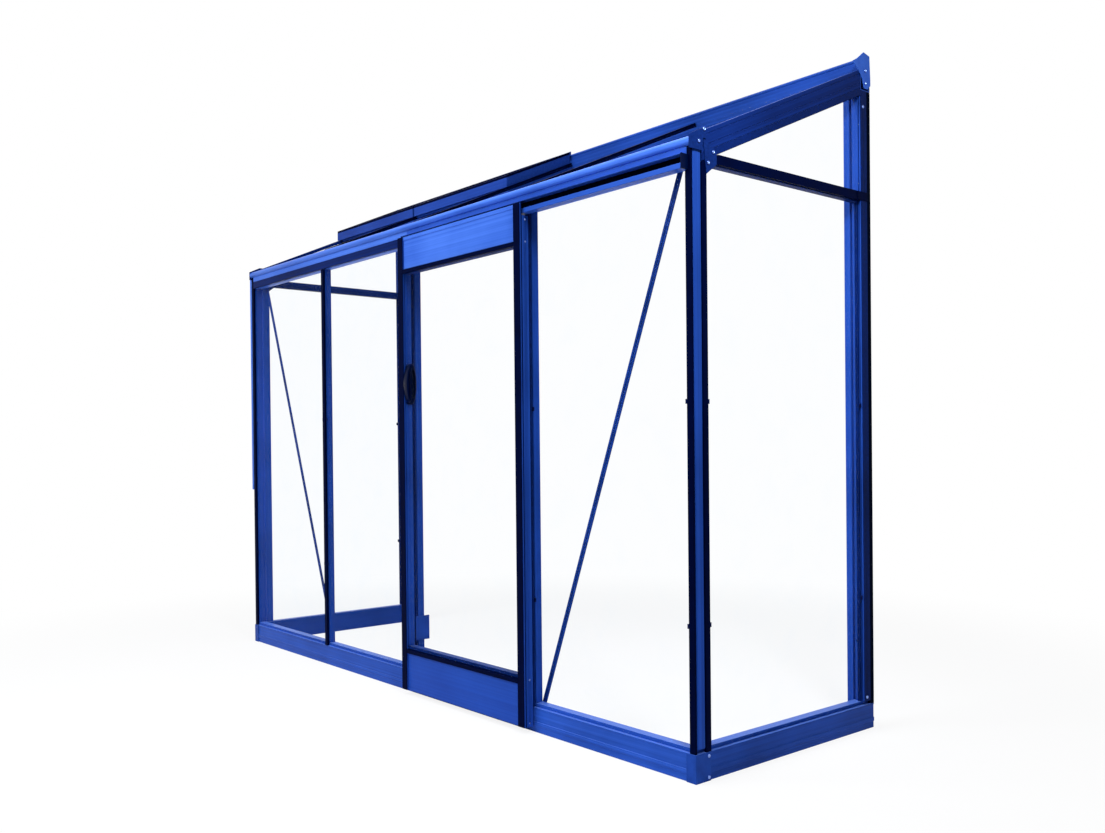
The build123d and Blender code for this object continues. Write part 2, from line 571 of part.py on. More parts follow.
# Wall plate along the house wall, with the bead that the vents hinge on
with BuildPart() as wall_plate:
    block((LEFT, RIGHT), (PLATE_FRONT, PLATE_BACK), (PLATE_BOTTOM, PLATE_TOP))
    block((LEFT, RIGHT), (PLATE_FRONT + PLATE_WALL, PLATE_BACK - PLATE_WALL),
          (PLATE_BOTTOM + PLATE_WALL, PLATE_TOP - PLATE_WALL), mode=Mode.SUBTRACT)
    block((LEFT, RIGHT), (PLATE_BACK - PLATE_WALL, PLATE_BACK), (PLATE_TOP, PLATE_TOP + UPSTAND))
    block((LEFT, RIGHT), around(HINGE_Y, NECK), (PLATE_TOP, HINGE_Z))
    rod((LEFT, PLATE_BACK - UPSTAND_BEAD, PLATE_TOP + UPSTAND - UPSTAND_BEAD), (1, 0, 0),
        UPSTAND_BEAD, LENGTH)
    rod((LEFT, HINGE_Y, HINGE_Z), (1, 0, 0), BEAD_RADIUS, LENGTH)
save(wall_plate, "wall_plate")

# End caps follow the plate's section, rising to a peak over the hinge
PLATE_CAP_OUTLINE = [(PLATE_FRONT + y, PLATE_BOTTOM + z) for y, z in PLATE_CAP]
with BuildPart() as wall_plate_end_caps:
    for side in SIDES.values():
        with BuildSketch(side_plane(end_span(side, -END_PLATE, 0)[0])):
            Polygon(*PLATE_CAP_OUTLINE, align=None)
        extrude(amount=END_PLATE)
        for y, z in PLATE_CAP_BOLTS:
            rod((end_x(side, 0), PLATE_FRONT + y, PLATE_BOTTOM + z), (side, 0, 0), BOLT_HOLE, END_PLATE,
                mode=Mode.SUBTRACT)
save(wall_plate_end_caps, "wall_plate_end_caps")

with BuildPart() as eaves_gussets:
    for side in SIDES.values():
        for inward in (-END_PLATE, RAFTER_WIDTH):
            with BuildSketch(side_plane(end_span(side, inward, inward + END_PLATE)[0])):
                Polygon(*GUSSET_OUTLINE, align=None)
            extrude(amount=END_PLATE)
        for y, z in GUSSET_BOLTS:
            rod((end_x(side, 0), y, EAVES + z), (side, 0, 0), BOLT_HOLE, END_PLATE, mode=Mode.SUBTRACT)
save(eaves_gussets, "eaves_gussets")


# Glass and the cappings that hold it
END_PANE_TOP = TIE_MIDDLE - PANE_SET
GABLE_PANE = TIE_MIDDLE + PANE_SET
GABLE_RISE = RAFTER_LAP - RAFTER_DEPTH
GABLE_BACK = WALL_POST_FRONT - STEM_GAP


def front_pane(bay):
    """Add the pane of one front bay."""
    block(bay_span(bay, CORNER_STEM + PANE_SET, PANE_SET), (CAPPING, GLAZING), (LEDGE, PANE_TOP))


with BuildPart() as front_panes_left:
    for bay in range(DOOR_BAY):
        front_pane(bay)
save(front_panes_left, "front_panes_left")

with BuildPart() as front_pane_right:
    for bay in range(DOOR_BAY + 1, BAYS):
        front_pane(bay)
save(front_pane_right, "front_pane_right")

for name, side in SIDES.items():
    with BuildPart() as end_panes:
        block(end_span(side, CAPPING, GLAZING), END_PANE, (LEDGE, END_PANE_TOP))
        add(RAFTER_ROOMS[side], mode=Mode.SUBTRACT)
        with BuildSketch(side_plane(end_span(side, CAPPING, GLAZING)[0])):
            Polygon((END_PANE[0], GABLE_PANE), (GABLE_BACK, GABLE_PANE),
                    (GABLE_BACK, roof_z(GABLE_BACK, GABLE_RISE)),
                    (END_PANE[0], roof_z(END_PANE[0], GABLE_RISE)), align=None)
        extrude(amount=GLASS)
    save(end_panes, f"end_panes_{name}")

with BuildPart() as roof_panes:
    for bay in range(BAYS):
        back = SILL_FRONT + SILL_STEP - STEM_GAP if bay in VENT_BAYS else ROOF_PANE_BACK
        roof_strip(bay_span(bay, RAFTER_WIDTH - RAFTER_REBATE + STEM_GAP, PANE_SET), (ROOF_OVERHANG, back),
                   (-GLAZING, -CAPPING))
save(roof_panes, "roof_panes")


def end_capping(side, y, z, stem):
    """Add an upright capping on an end, with its stem about the given place."""
    block(end_span(side, 0, CAPPING), y, z)
    block(end_span(side, CAPPING, GLAZING), around(stem, STEM), z)


EAVES_CAPPINGS = ((end_x(-1, CORNER_WIDTH) + JOINT, DOOR_POSTS[0] + CAPPING_WIDTH / 2),
                  (DOOR_POSTS[1] - CAPPING_WIDTH / 2, end_x(1, CORNER_WIDTH) - JOINT))
TIE_CAPPING = around(TIE_MIDDLE, CAPPING_WIDTH + CAPPING)
TIE_CAPPING_BACK = WALL_POST_FRONT - JOINT


def bar_capping(x):
    """Add the capping and the stem of one front bar."""
    block(around(x, CAPPING_WIDTH), (0, CAPPING), (LEDGE, BAR_TOP - JOINT))
    block(around(x, STEM), (CAPPING, GLAZING), (LEDGE, BAR_TOP - JOINT))


with BuildPart() as wall_cappings:
    for x in (bar for bar in BARS if bar not in DOOR_POSTS):
        bar_capping(x)
    for side in SIDES.values():
        block(end_span(side, CAPPING_STEP, CORNER_WIDTH), (0, CAPPING), (LEDGE, EAVES))
        block(end_span(side, *around(CORNER_STEM, STEM)), (CAPPING, GLAZING), (LEDGE, EAVES))
        end_capping(side, (END_CAPPING, END_CAPPING + CAPPING_WIDTH), (LEDGE, EAVES), END_CAPPING + END_STEM)
        block(end_span(side, 0, CAPPING), (CORNER_DEPTH, TIE_CAPPING_BACK), TIE_CAPPING)
        block(end_span(side, CAPPING, GLAZING), (CORNER_DEPTH, TIE_CAPPING_BACK), around(TIE_MIDDLE, STEM))
        add(RAFTER_ROOMS[side], mode=Mode.SUBTRACT)
        block(end_span(side, -COVER, 0), (TIE_CAPPING_BACK - CAPPING_WIDTH, WALL_POST_BACK), TIE_CAPPING)
save(wall_cappings, "wall_cappings")

# Metal cappings on the door posts, along the eaves and below the rafters, and the wall posts'
# beads and end covers
POST_BEAD = (PANE_GROOVE[1], PANE_GROOVE[1] + PANE_BEAD[0])
with BuildPart() as edge_cappings:
    for x in DOOR_POSTS:
        bar_capping(x)
    for span in EAVES_CAPPINGS:
        block(span, (0, CAPPING), (BAR_TOP, FASCIA_BOTTOM))
        block(span, (CAPPING, GLAZING), (PANE_TOP + STEM_GAP, FASCIA_BOTTOM))
    for side in SIDES.values():
        run = (BASE_DEPTH, PLATE_FRONT)
        block(end_span(side, *POST_BEAD), (WALL_POST_FRONT - PANE_BEAD[1], WALL_POST_FRONT),
              (BASE_TOP, TIE_BOTTOM))
        block(end_span(side, 0, COVER), (WALL_POST_FRONT, WALL_POST_BACK), (BASE_TOP, PLATE_BOTTOM))
        for z in POST_BOLTS:
            rod((end_x(side, 0), POST_BOLT_Y, z), (-side, 0, 0), BOLT_HOLE, COVER, mode=Mode.SUBTRACT)
        roof_strip(end_span(side, 0, CAPPING), run, (RAFTER_CAPPING - RAFTER_DEPTH, -RAFTER_FACE - JOINT))
        roof_strip(end_span(side, CAPPING, GLAZING), run, (GABLE_RISE + STEM_GAP, -RAFTER_FACE - JOINT))
save(edge_cappings, "edge_cappings")

with BuildPart() as glazing_clips:
    for height in CLIP_HEIGHTS:
        for bay in (b for b in range(BAYS) if b != DOOR_BAY):
            span = bay_span(bay, CORNER_WIDTH, CAPPING_WIDTH / 2)
            for x in ((span[0], span[0] + CLIP[0]), (span[1] - CLIP[0], span[1])):
                block(x, (CAPPING - CLIP[1], CAPPING), around(height, CLIP[2]))
        for side in SIDES.values():
            for y in (END_CAPPING + CAPPING_WIDTH, WALL_POST_FRONT - CLIP[0]):
                block(end_span(side, CAPPING - CLIP[1], CAPPING), (y, y + CLIP[0]), around(height, CLIP[2]))
save(glazing_clips, "glazing_clips")


# Wind braces behind the outer bays
BRACE_BACK = BASE_DEPTH + BRACE[1]
BRACE_TOP = (BRACE_IN, EAVES - BRACE_DROP)
BRACE_BOTTOM = (CORNER_INSET + PITCH - BRACE_FOOT, BASE_TOP - BRACE_SINK)
BRACE_ENDS = {side: [(end_x(side, inward), z) for inward, z in (BRACE_TOP, BRACE_BOTTOM)]
              for side in SIDES.values()}
for name, side in SIDES.items():
    (top_x, top_z), (foot_x, foot_z) = BRACE_ENDS[side]
    middle = ((top_x + foot_x) / 2, FRONT + BASE_DEPTH, (top_z + foot_z) / 2)
    with BuildPart() as wind_brace:
        with BuildSketch(Plane(origin=middle, x_dir=(1, 0, 0), z_dir=(0, -1, 0))):
            SlotCenterToCenter(hypot(top_x - foot_x, top_z - foot_z), BRACE[0],
                               rotation=degrees(atan2(top_z - foot_z, top_x - foot_x)))
        extrude(amount=-BRACE[1])
        for x, z in BRACE_ENDS[side]:
            rod((x, BASE_DEPTH, z), (0, 1, 0), BOLT_HOLE, BRACE[1], mode=Mode.SUBTRACT)
    save(wind_brace, f"wind_brace_{name}")


# Door track on the eaves, its stops and the plate on the door post
TRACK_ENDS = (DOOR_POSTS[0] - TRACK_LEFT, RIGHT - TRACK_RIGHT)
HOOD_TOP = TRACK_BOTTOM + TRACK_HOOD
with BuildPart() as door_track:
    with BuildSketch(side_plane(TRACK_ENDS[0])):
        Polygon((0, TRACK_BOTTOM), (0, TRACK_TOP), (-TRACK, TRACK_TOP), (-TRACK, HOOD_TOP),
                (-TRACK_REACH, HOOD_TOP), (-TRACK_REACH, HOOD_TOP - TRACK), (-TRACK, HOOD_TOP - TRACK),
                (-TRACK, TRACK_BOTTOM + TRACK),
                (TRACK - TRACK_REACH, TRACK_BOTTOM + TRACK), (TRACK - TRACK_REACH, TRACK_BOTTOM + TRACK_LIP),
                (-TRACK_REACH, TRACK_BOTTOM + TRACK_LIP), (-TRACK_REACH, TRACK_BOTTOM), align=None)
    extrude(amount=TRACK_ENDS[1] - TRACK_ENDS[0])
save(door_track, "door_track")

with BuildPart() as track_stops:
    for x in ((TRACK_ENDS[0] - STOP, TRACK_ENDS[0]), (TRACK_ENDS[1], TRACK_ENDS[1] + STOP)):
        block(x, (-TRACK_REACH, 0), (TRACK_BOTTOM, HOOD_TOP))
save(track_stops, "track_stops")

JAMB_X = DOOR_POSTS[0] + CAPPING_WIDTH / 2
with BuildPart() as jamb_plate:
    block((JAMB_X, JAMB_X + JAMB_PLATE[0]), (0, JAMB_PLATE[1]), JAMB_PLATE[2:])
save(jamb_plate, "jamb_plate")


# Bolts and screws
def fastener(sizes, shank):
    """A round-headed bolt or screw: head above the local origin, shank below."""
    with BuildPart() as piece:
        Cylinder(sizes[0], sizes[1], align=(Align.CENTER, Align.CENTER, Align.MIN))
        fillet(piece.edges().sort_by(Axis.Z)[-1], radius=sizes[1] / 2)
        Cylinder(sizes[2], shank, align=(Align.CENTER, Align.CENTER, Align.MAX))
    return piece.part


def site(x, y, z, direction):
    """Plane of a fastener's seat, facing out."""
    return Plane(origin=(x, FRONT + y, z), z_dir=direction)


PLATE_SITES = [site(RIGHT + END_PLATE, y, EAVES + z, (1, 0, 0)) for y, z in GUTTER_CAP_BOLTS]
COVER_SITES = []
POST_SITES = []
for side in SIDES.values():
    out = (side, 0, 0)
    PLATE_SITES += [site(end_x(side, -END_PLATE), y, EAVES + z, out) for y, z in GUSSET_BOLTS]
    PLATE_SITES += [site(end_x(side, -END_PLATE), PLATE_FRONT + y, PLATE_BOTTOM + z, out)
                    for y, z in PLATE_CAP_BOLTS]
    PLATE_SITES += [site(x, BRACE_BACK, z, (0, 1, 0)) for x, z in BRACE_ENDS[side]]
    COVER_SITES += [site(end_x(side, -COVER), y, z, out) for y, z in COVER_BOLTS]
    POST_SITES += [site(end_x(side, 0), POST_BOLT_Y, z, out) for z in POST_BOLTS]
PLATE_BOLT = fastener(BOLT, END_PLATE)
COVER_BOLT = fastener(BOLT, COVER)
with BuildPart() as frame_bolts:
    with Locations(*PLATE_SITES):
        add(PLATE_BOLT)
    with Locations(*COVER_SITES, *POST_SITES):
        add(COVER_BOLT)
save(frame_bolts, "frame_bolts")


# Sliding door: stiles, rails, glass, two panels and their cappings
STILES = ((DOOR_LEFT, DOOR_LEFT + STILE), (DOOR_RIGHT - STILE, DOOR_RIGHT))
DOOR_PANE = (STILES[0][1] - PANEL_LAP, STILES[1][0] + PANEL_LAP)
BETWEEN_STILES = (STILES[0][1] + JOINT, STILES[1][0] - JOINT)
DOOR_MIDDLE = (DOOR_FACE + DOOR_BACK) / 2
SCREW_SITES = [(x, out, z + RAIL / 2) for x, out in ((DOOR_LEFT, -1), (DOOR_RIGHT, 1)) for z in RAILS]

with BuildPart() as door_stiles:
    for x in STILES:
        block(x, (DOOR_FACE, DOOR_BACK), (DOOR_BOTTOM, DOOR_BODY_TOP))
        block((x[0] + BAR_WALL, x[1] - BAR_WALL), (DOOR_FACE + BAR_WALL, DOOR_BACK - BAR_WALL),
              (DOOR_BOTTOM, DOOR_BODY_TOP), mode=Mode.SUBTRACT)
        block(x, (DOOR_FRONT + STILE_COVER, DOOR_GLASS_FRONT), (DOOR_BOTTOM, DOOR_TOP))
    for x, out, z in SCREW_SITES:
        rod((x, DOOR_MIDDLE, z), (-out, 0, 0), SCREW[2] + BOLT_PLAY, BAR_WALL, mode=Mode.SUBTRACT)
save(door_stiles, "door_stiles")

with BuildPart() as door_rails:
    for z in RAILS:
        block((STILES[0][1], STILES[1][0]), (DOOR_FACE, DOOR_BACK), (z, z + RAIL))
        block((STILES[0][1], STILES[1][0]), (DOOR_FACE + BAR_WALL, DOOR_BACK - BAR_WALL),
              (z + BAR_WALL, z + RAIL - BAR_WALL), mode=Mode.SUBTRACT)
save(door_rails, "door_rails")

with BuildPart() as door_kick_panel:
    block(DOOR_PANE, (DOOR_GLASS_FRONT, DOOR_FACE), (DOOR_BOTTOM, KICK + PANEL_LAP))
save(door_kick_panel, "door_kick_panel")

with BuildPart() as door_glass:
    block(DOOR_PANE, (DOOR_GLASS_FRONT, DOOR_FACE), (KICK + RAIL - PANEL_LAP, LINTEL + PANEL_LAP))
save(door_glass, "door_glass")

with BuildPart() as door_top_panel:
    block(DOOR_PANE, (DOOR_GLASS_FRONT, DOOR_FACE), (LINTEL + RAIL - PANEL_LAP, DOOR_TOP))
    block(BETWEEN_STILES, (DOOR_GLASS_FRONT - PANEL_HEM[0], DOOR_GLASS_FRONT),
          (DOOR_TOP - PANEL_HEM[1], DOOR_TOP))
save(door_top_panel, "door_top_panel")

with BuildPart() as door_cappings:
    for x in STILES:
        block(x, (DOOR_FRONT, DOOR_FRONT + STILE_COVER), (DOOR_BOTTOM, DOOR_TOP))
    for x in ((DOOR_LEFT, DOOR_PANE[0] - STEM_GAP), (DOOR_PANE[1] + STEM_GAP, DOOR_RIGHT)):
        block(x, (DOOR_GLASS_FRONT, DOOR_FACE), (DOOR_BOTTOM, DOOR_TOP))
    for z in (KICK, LINTEL):
        block(BETWEEN_STILES, (DOOR_FRONT, DOOR_GLASS_FRONT), (z, z + RAIL / 2 + STEM_GAP))
        block(BETWEEN_STILES, (DOOR_GLASS_FRONT, DOOR_FACE),
              (z + PANEL_LAP + STEM_GAP, z + RAIL - PANEL_LAP - STEM_GAP))
save(door_cappings, "door_cappings")

with BuildPart() as door_screws:
    with Locations(*(site(x, DOOR_MIDDLE, z, (out, 0, 0)) for x, out, z in SCREW_SITES)):
        add(fastener(SCREW, BAR_WALL))
save(door_screws, "door_screws")

# An oval pull on the left stile's inner side: the pane parts it, and its inner piece is
# hollowed for the fingers
HANDLE_BACK = DOOR_BACK + HANDLE_PAST
HANDLE_SPAN = (STILES[0][1], STILES[0][1] + HANDLE[0])
HANDLE_SLIT = (DOOR_GLASS_FRONT - HANDLE_GAP, DOOR_FACE + HANDLE_GAP)
with BuildPart() as door_handle:
    with BuildSketch(side_plane(HANDLE_SPAN[0])):
        with Locations((HANDLE_BACK - HANDLE[1] / 2, HANDLE_HEIGHT)):
            Ellipse(HANDLE[1] / 2, HANDLE[2] / 2)
    extrude(amount=HANDLE[0])
    fillet(door_handle.faces().sort_by(Axis.X)[-1].edges(), radius=HANDLE_ROUND)
    block(HANDLE_SPAN, HANDLE_SLIT, around(HANDLE_HEIGHT, HANDLE[2]), mode=Mode.SUBTRACT)
    with BuildSketch(side_plane(HANDLE_SPAN[1])):
        with Locations(((HANDLE_SLIT[1] + HANDLE_BACK) / 2, HANDLE_HEIGHT)):
            Ellipse(HANDLE_HOLLOW[1] / 2, HANDLE_HOLLOW[2] / 2)
    extrude(amount=-HANDLE_HOLLOW[0], mode=Mode.SUBTRACT)
save(door_handle, "door_handle")

ROLLER_SPAN = around(ROLLER_MIDDLE, ROLLER_WIDTH)
HANGER_FRONT = -HANGER_BACK - HANGER[1]
with BuildPart() as door_hangers:
    for x in ROLLERS.values():
        width = around(x, HANGER[0])
        block(width, (HANGER_FRONT, ROLLER_SPAN[1]), (DOOR_BODY_TOP, DOOR_BODY_TOP + HANGER[1]))
        block(width, (HANGER_FRONT, -HANGER_BACK), (DOOR_BODY_TOP, ROLLER_Z + HANGER_HEAD))
        rod((x, -HANGER_BACK, ROLLER_Z), (0, 1, 0), AXLE, ROLLER_SPAN[1] + HANGER_BACK)
save(door_hangers, "door_hangers")

for name, x in ROLLERS.items():
    with BuildPart() as roller:
        rod((x, ROLLER_SPAN[0], ROLLER_Z), (0, 1, 0), ROLLER_RADIUS, ROLLER_WIDTH)
        rod((x, ROLLER_SPAN[0], ROLLER_Z), (0, 1, 0), AXLE + AXLE_PLAY, ROLLER_WIDTH, mode=Mode.SUBTRACT)
        with Locations(Plane(origin=(x, FRONT + ROLLER_MIDDLE, ROLLER_Z), z_dir=(0, 1, 0))):
            with PolarLocations(ROLLER_SPOKE, ROLLER_HOLES):
                Cylinder(ROLLER_HOLE, ROLLER_WIDTH, mode=Mode.SUBTRACT)
    save(roller, f"door_roller_{name}")

with BuildPart() as door_guide_shoes:
    for x in (DOOR_LEFT + SHOE_IN, DOOR_RIGHT - SHOE_IN):
        block(around(x, SHOE[0]), (DOOR_BACK, DOOR_BACK + SHOE[1]), SHOE[2:])
        block(around(x, SHOE[0]), (DOOR_BACK + SHOE[1], BASE_SET - SHOE_GAP), (SHOE_NOSE, SHOE[3]))
save(door_guide_shoes, "door_guide_shoes")


# Roof vents, hinged on the wall plate's bead, each with a stay folded under it
VENTS = {"left": (LEFT + VENT_SIDE_GAP, BARS[0] - VENT_HALF_GAP),
         "right": (BARS[0] + VENT_HALF_GAP, BARS[1] - VENT_INNER_GAP)}
VENT_LAYERS = (VENT_LIFT, VENT_LIFT + VENT_BODY)
VENT_GLASS = (VENT_LAYERS[1], VENT_LAYERS[1] + GLASS)
for name, (x0, x1) in VENTS.items():
    inner = (x0 + VENT_RAIL + JOINT, x1 - VENT_RAIL - JOINT)
    middle = (x0 + x1) / 2
    with BuildPart() as vent_frame:
        for x in ((x0, x0 + VENT_RAIL), (x1 - VENT_RAIL, x1)):
            roof_strip(x, (VENT_FRONT, VENT_BACK), VENT_LAYERS)
        roof_strip(inner, (VENT_FRONT, VENT_FRONT + VENT_RAIL), VENT_LAYERS)
        roof_strip(inner, (VENT_BACK - VENT_RAIL, VENT_BACK), VENT_LAYERS)
        roof_strip(inner, (VENT_BACK, HINGE_Y + VENT_LEAF), (HINGE_ABOVE, VENT_TOP))
        rod((x0, HINGE_Y, HINGE_Z), (1, 0, 0), BEAD_RADIUS + HINGE_GAP, x1 - x0, mode=Mode.SUBTRACT)
        for x in (middle - STAY[0] / 2 - LUG_GAP - LUG, middle + STAY[0] / 2 + LUG_GAP):
            with BuildSketch(stay_plane(x)):
                Circle(STAY_EYE)
                with Locations((-STAY_BACK, 0)):
                    Rectangle(2 * STAY_BACK, 2 * STAY_EYE - LUG)
            extrude(amount=LUG)
        with BuildSketch(stay_plane(middle - STAY[0] / 2 - LUG_GAP)):
            Circle(STAY_PIN)
        extrude(amount=STAY[0] + 2 * LUG_GAP)
    save(vent_frame, f"vent_frame_{name}")

    with BuildPart() as vent_glass:
        roof_strip((x0 + VENT_EDGE, x1 - VENT_EDGE), (VENT_FRONT + VENT_EDGE, VENT_BACK - VENT_EDGE),
                   VENT_GLASS)
    save(vent_glass, f"vent_glass_{name}")

    rim = VENT_EDGE - STEM_GAP
    with BuildPart() as vent_capping:
        roof_strip((x0, x1), (VENT_FRONT, VENT_BACK), (VENT_LAYERS[1], VENT_TOP))
        roof_strip((x0 + rim, x1 - rim), (VENT_FRONT + rim, VENT_BACK - rim), VENT_GLASS,
                   mode=Mode.SUBTRACT)
        roof_strip((x0 + VENT_RAIL, x1 - VENT_RAIL), (VENT_FRONT + VENT_RAIL, VENT_BACK - VENT_RAIL),
                   (VENT_GLASS[1], VENT_TOP), mode=Mode.SUBTRACT)
    save(vent_capping, f"vent_capping_{name}")

    with BuildPart() as vent_stay:
        with BuildSketch(stay_plane(middle - STAY[0] / 2)):
            Circle(STAY_EYE)
            with Locations((STAY_LENGTH / 2, 0)):
                Rectangle(STAY_LENGTH, STAY[1])
            Circle(STAY_PIN + STAY_PLAY, mode=Mode.SUBTRACT)
        extrude(amount=STAY[0])
        plane = stay_plane(middle)
        places = [plane.from_local_coords((a, 0, 0)) for a in STAY_HOLES]
        with Locations(*(Plane(origin=place, z_dir=plane.y_dir) for place in places)):
            Cylinder(STAY_HOLE, STAY[1], mode=Mode.SUBTRACT)
    save(vent_stay, f"vent_stay_{name}")
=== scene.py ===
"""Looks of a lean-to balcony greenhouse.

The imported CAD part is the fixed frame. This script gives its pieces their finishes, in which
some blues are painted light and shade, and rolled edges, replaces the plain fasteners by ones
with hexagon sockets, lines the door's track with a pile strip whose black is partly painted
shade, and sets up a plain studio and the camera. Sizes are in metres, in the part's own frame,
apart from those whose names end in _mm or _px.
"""

import logging
import math
from collections.abc import Iterable, Sequence
from dataclasses import dataclass
from enum import Enum
from typing import Any

import bmesh
import bpy
from mathutils import Matrix, Vector


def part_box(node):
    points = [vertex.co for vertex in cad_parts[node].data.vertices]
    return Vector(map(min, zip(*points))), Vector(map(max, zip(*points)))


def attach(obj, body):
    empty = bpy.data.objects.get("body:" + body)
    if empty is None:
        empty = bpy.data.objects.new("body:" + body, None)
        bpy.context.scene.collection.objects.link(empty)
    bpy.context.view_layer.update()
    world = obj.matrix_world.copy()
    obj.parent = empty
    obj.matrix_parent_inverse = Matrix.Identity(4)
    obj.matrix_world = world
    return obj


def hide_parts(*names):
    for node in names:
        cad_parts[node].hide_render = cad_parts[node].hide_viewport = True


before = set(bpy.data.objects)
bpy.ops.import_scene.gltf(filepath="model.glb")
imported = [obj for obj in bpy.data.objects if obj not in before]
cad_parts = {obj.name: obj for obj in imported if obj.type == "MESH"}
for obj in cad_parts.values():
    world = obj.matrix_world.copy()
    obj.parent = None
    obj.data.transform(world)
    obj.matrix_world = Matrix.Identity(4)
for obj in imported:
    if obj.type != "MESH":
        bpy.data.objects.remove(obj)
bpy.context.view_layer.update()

LOG = logging.getLogger("greenhouse")

Material = bpy.types.Material
Tree = bpy.types.NodeTree
Socket = bpy.types.NodeSocket
Colour = tuple[float, float, float, float]
Place = tuple[float, float, float]
Span = tuple[float, float]

MM = 0.001
ROOF_PITCH = math.radians(24.0)

# Rolled edges: points this near are joined first, and corners sharper than the angle are rolled
WELD_MM = 0.01
EDGE_ANGLE = math.radians(40.0)
EDGE_STEPS = 2

# Colour and shade of the coat on most bars, from the lightest to the darkest. The lightest is the
# coat's own blue; the two darker pairs are painted shade, darker copies of the same coat for
# pieces that lie in shade and in deeper shade.
BLUE = ("#2C58BE", "#1E449C")
SHADED_BLUE = ("#2048A6", "#15357F")
DARKER_SHADED_BLUE = ("#102B70", "#081C50")

# Most values of a noise pattern lie in this span
NOISE_SPAN: Span = (0.3, 0.7)

# Sockets of a Mix node that mixes colours, by number because their names repeat
SHARE, FIRST, SECOND, MIXED = 0, 6, 7, 2


class Drawn(Enum):
    """Direction in which a section came through its die, as the rotation that turns X to it."""

    LENGTH = (0.0, 0.0, 0.0)
    DEPTH = (0.0, 0.0, math.pi / 2)
    HEIGHT = (0.0, -math.pi / 2, 0.0)
    SLOPE = (0.0, -ROOF_PITCH, math.pi / 2)


class Body(Enum):
    """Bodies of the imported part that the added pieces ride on."""

    FRAME = "frame"
    DOOR = "door"


def linear(code: str) -> Colour:
    """Turn an sRGB hex colour into linear values.

    Args:
        code: Colour such as "#2A55B8".

    Returns:
        Linear red, green, blue and an alpha of one.
    """
    parts = [int(code[i : i + 2], 16) / 255 for i in (1, 3, 5)]
    red, green, blue = (c / 12.92 if c <= 0.04045 else ((c + 0.055) / 1.055) ** 2.4 for c in parts)
    return (red, green, blue, 1.0)


def add_node(
    tree: Tree, kind: str, inputs: dict[str | int, Any] | None = None, **settings: Any
) -> bpy.types.Node:
    """Add a node with its settings, values and links.

    Args:
        tree: Node tree that gets the node.
        kind: Blender's name of the node's type.
        inputs: A value, or an output socket to link, for each input by name or number.
        settings: Properties of the node itself.

    Returns:
        The new node.
    """
    node = tree.nodes.new(kind)
    for name, value in settings.items():
        setattr(node, name, value)
    for name, value in (inputs or {}).items():
        if isinstance(value, Socket):
            tree.links.new(value, node.inputs[name])
        else:
            node.inputs[name].default_value = value
    return node


def new_material(name: str) -> tuple[Material, Tree]:
    """Make an empty node material.

    Args:
        name: What the material is.

    Returns:
        The material and its node tree.
    """
    material = bpy.data.materials.new(name)
    material.use_nodes = True
    material.node_tree.nodes.clear()
    return material, material.node_tree


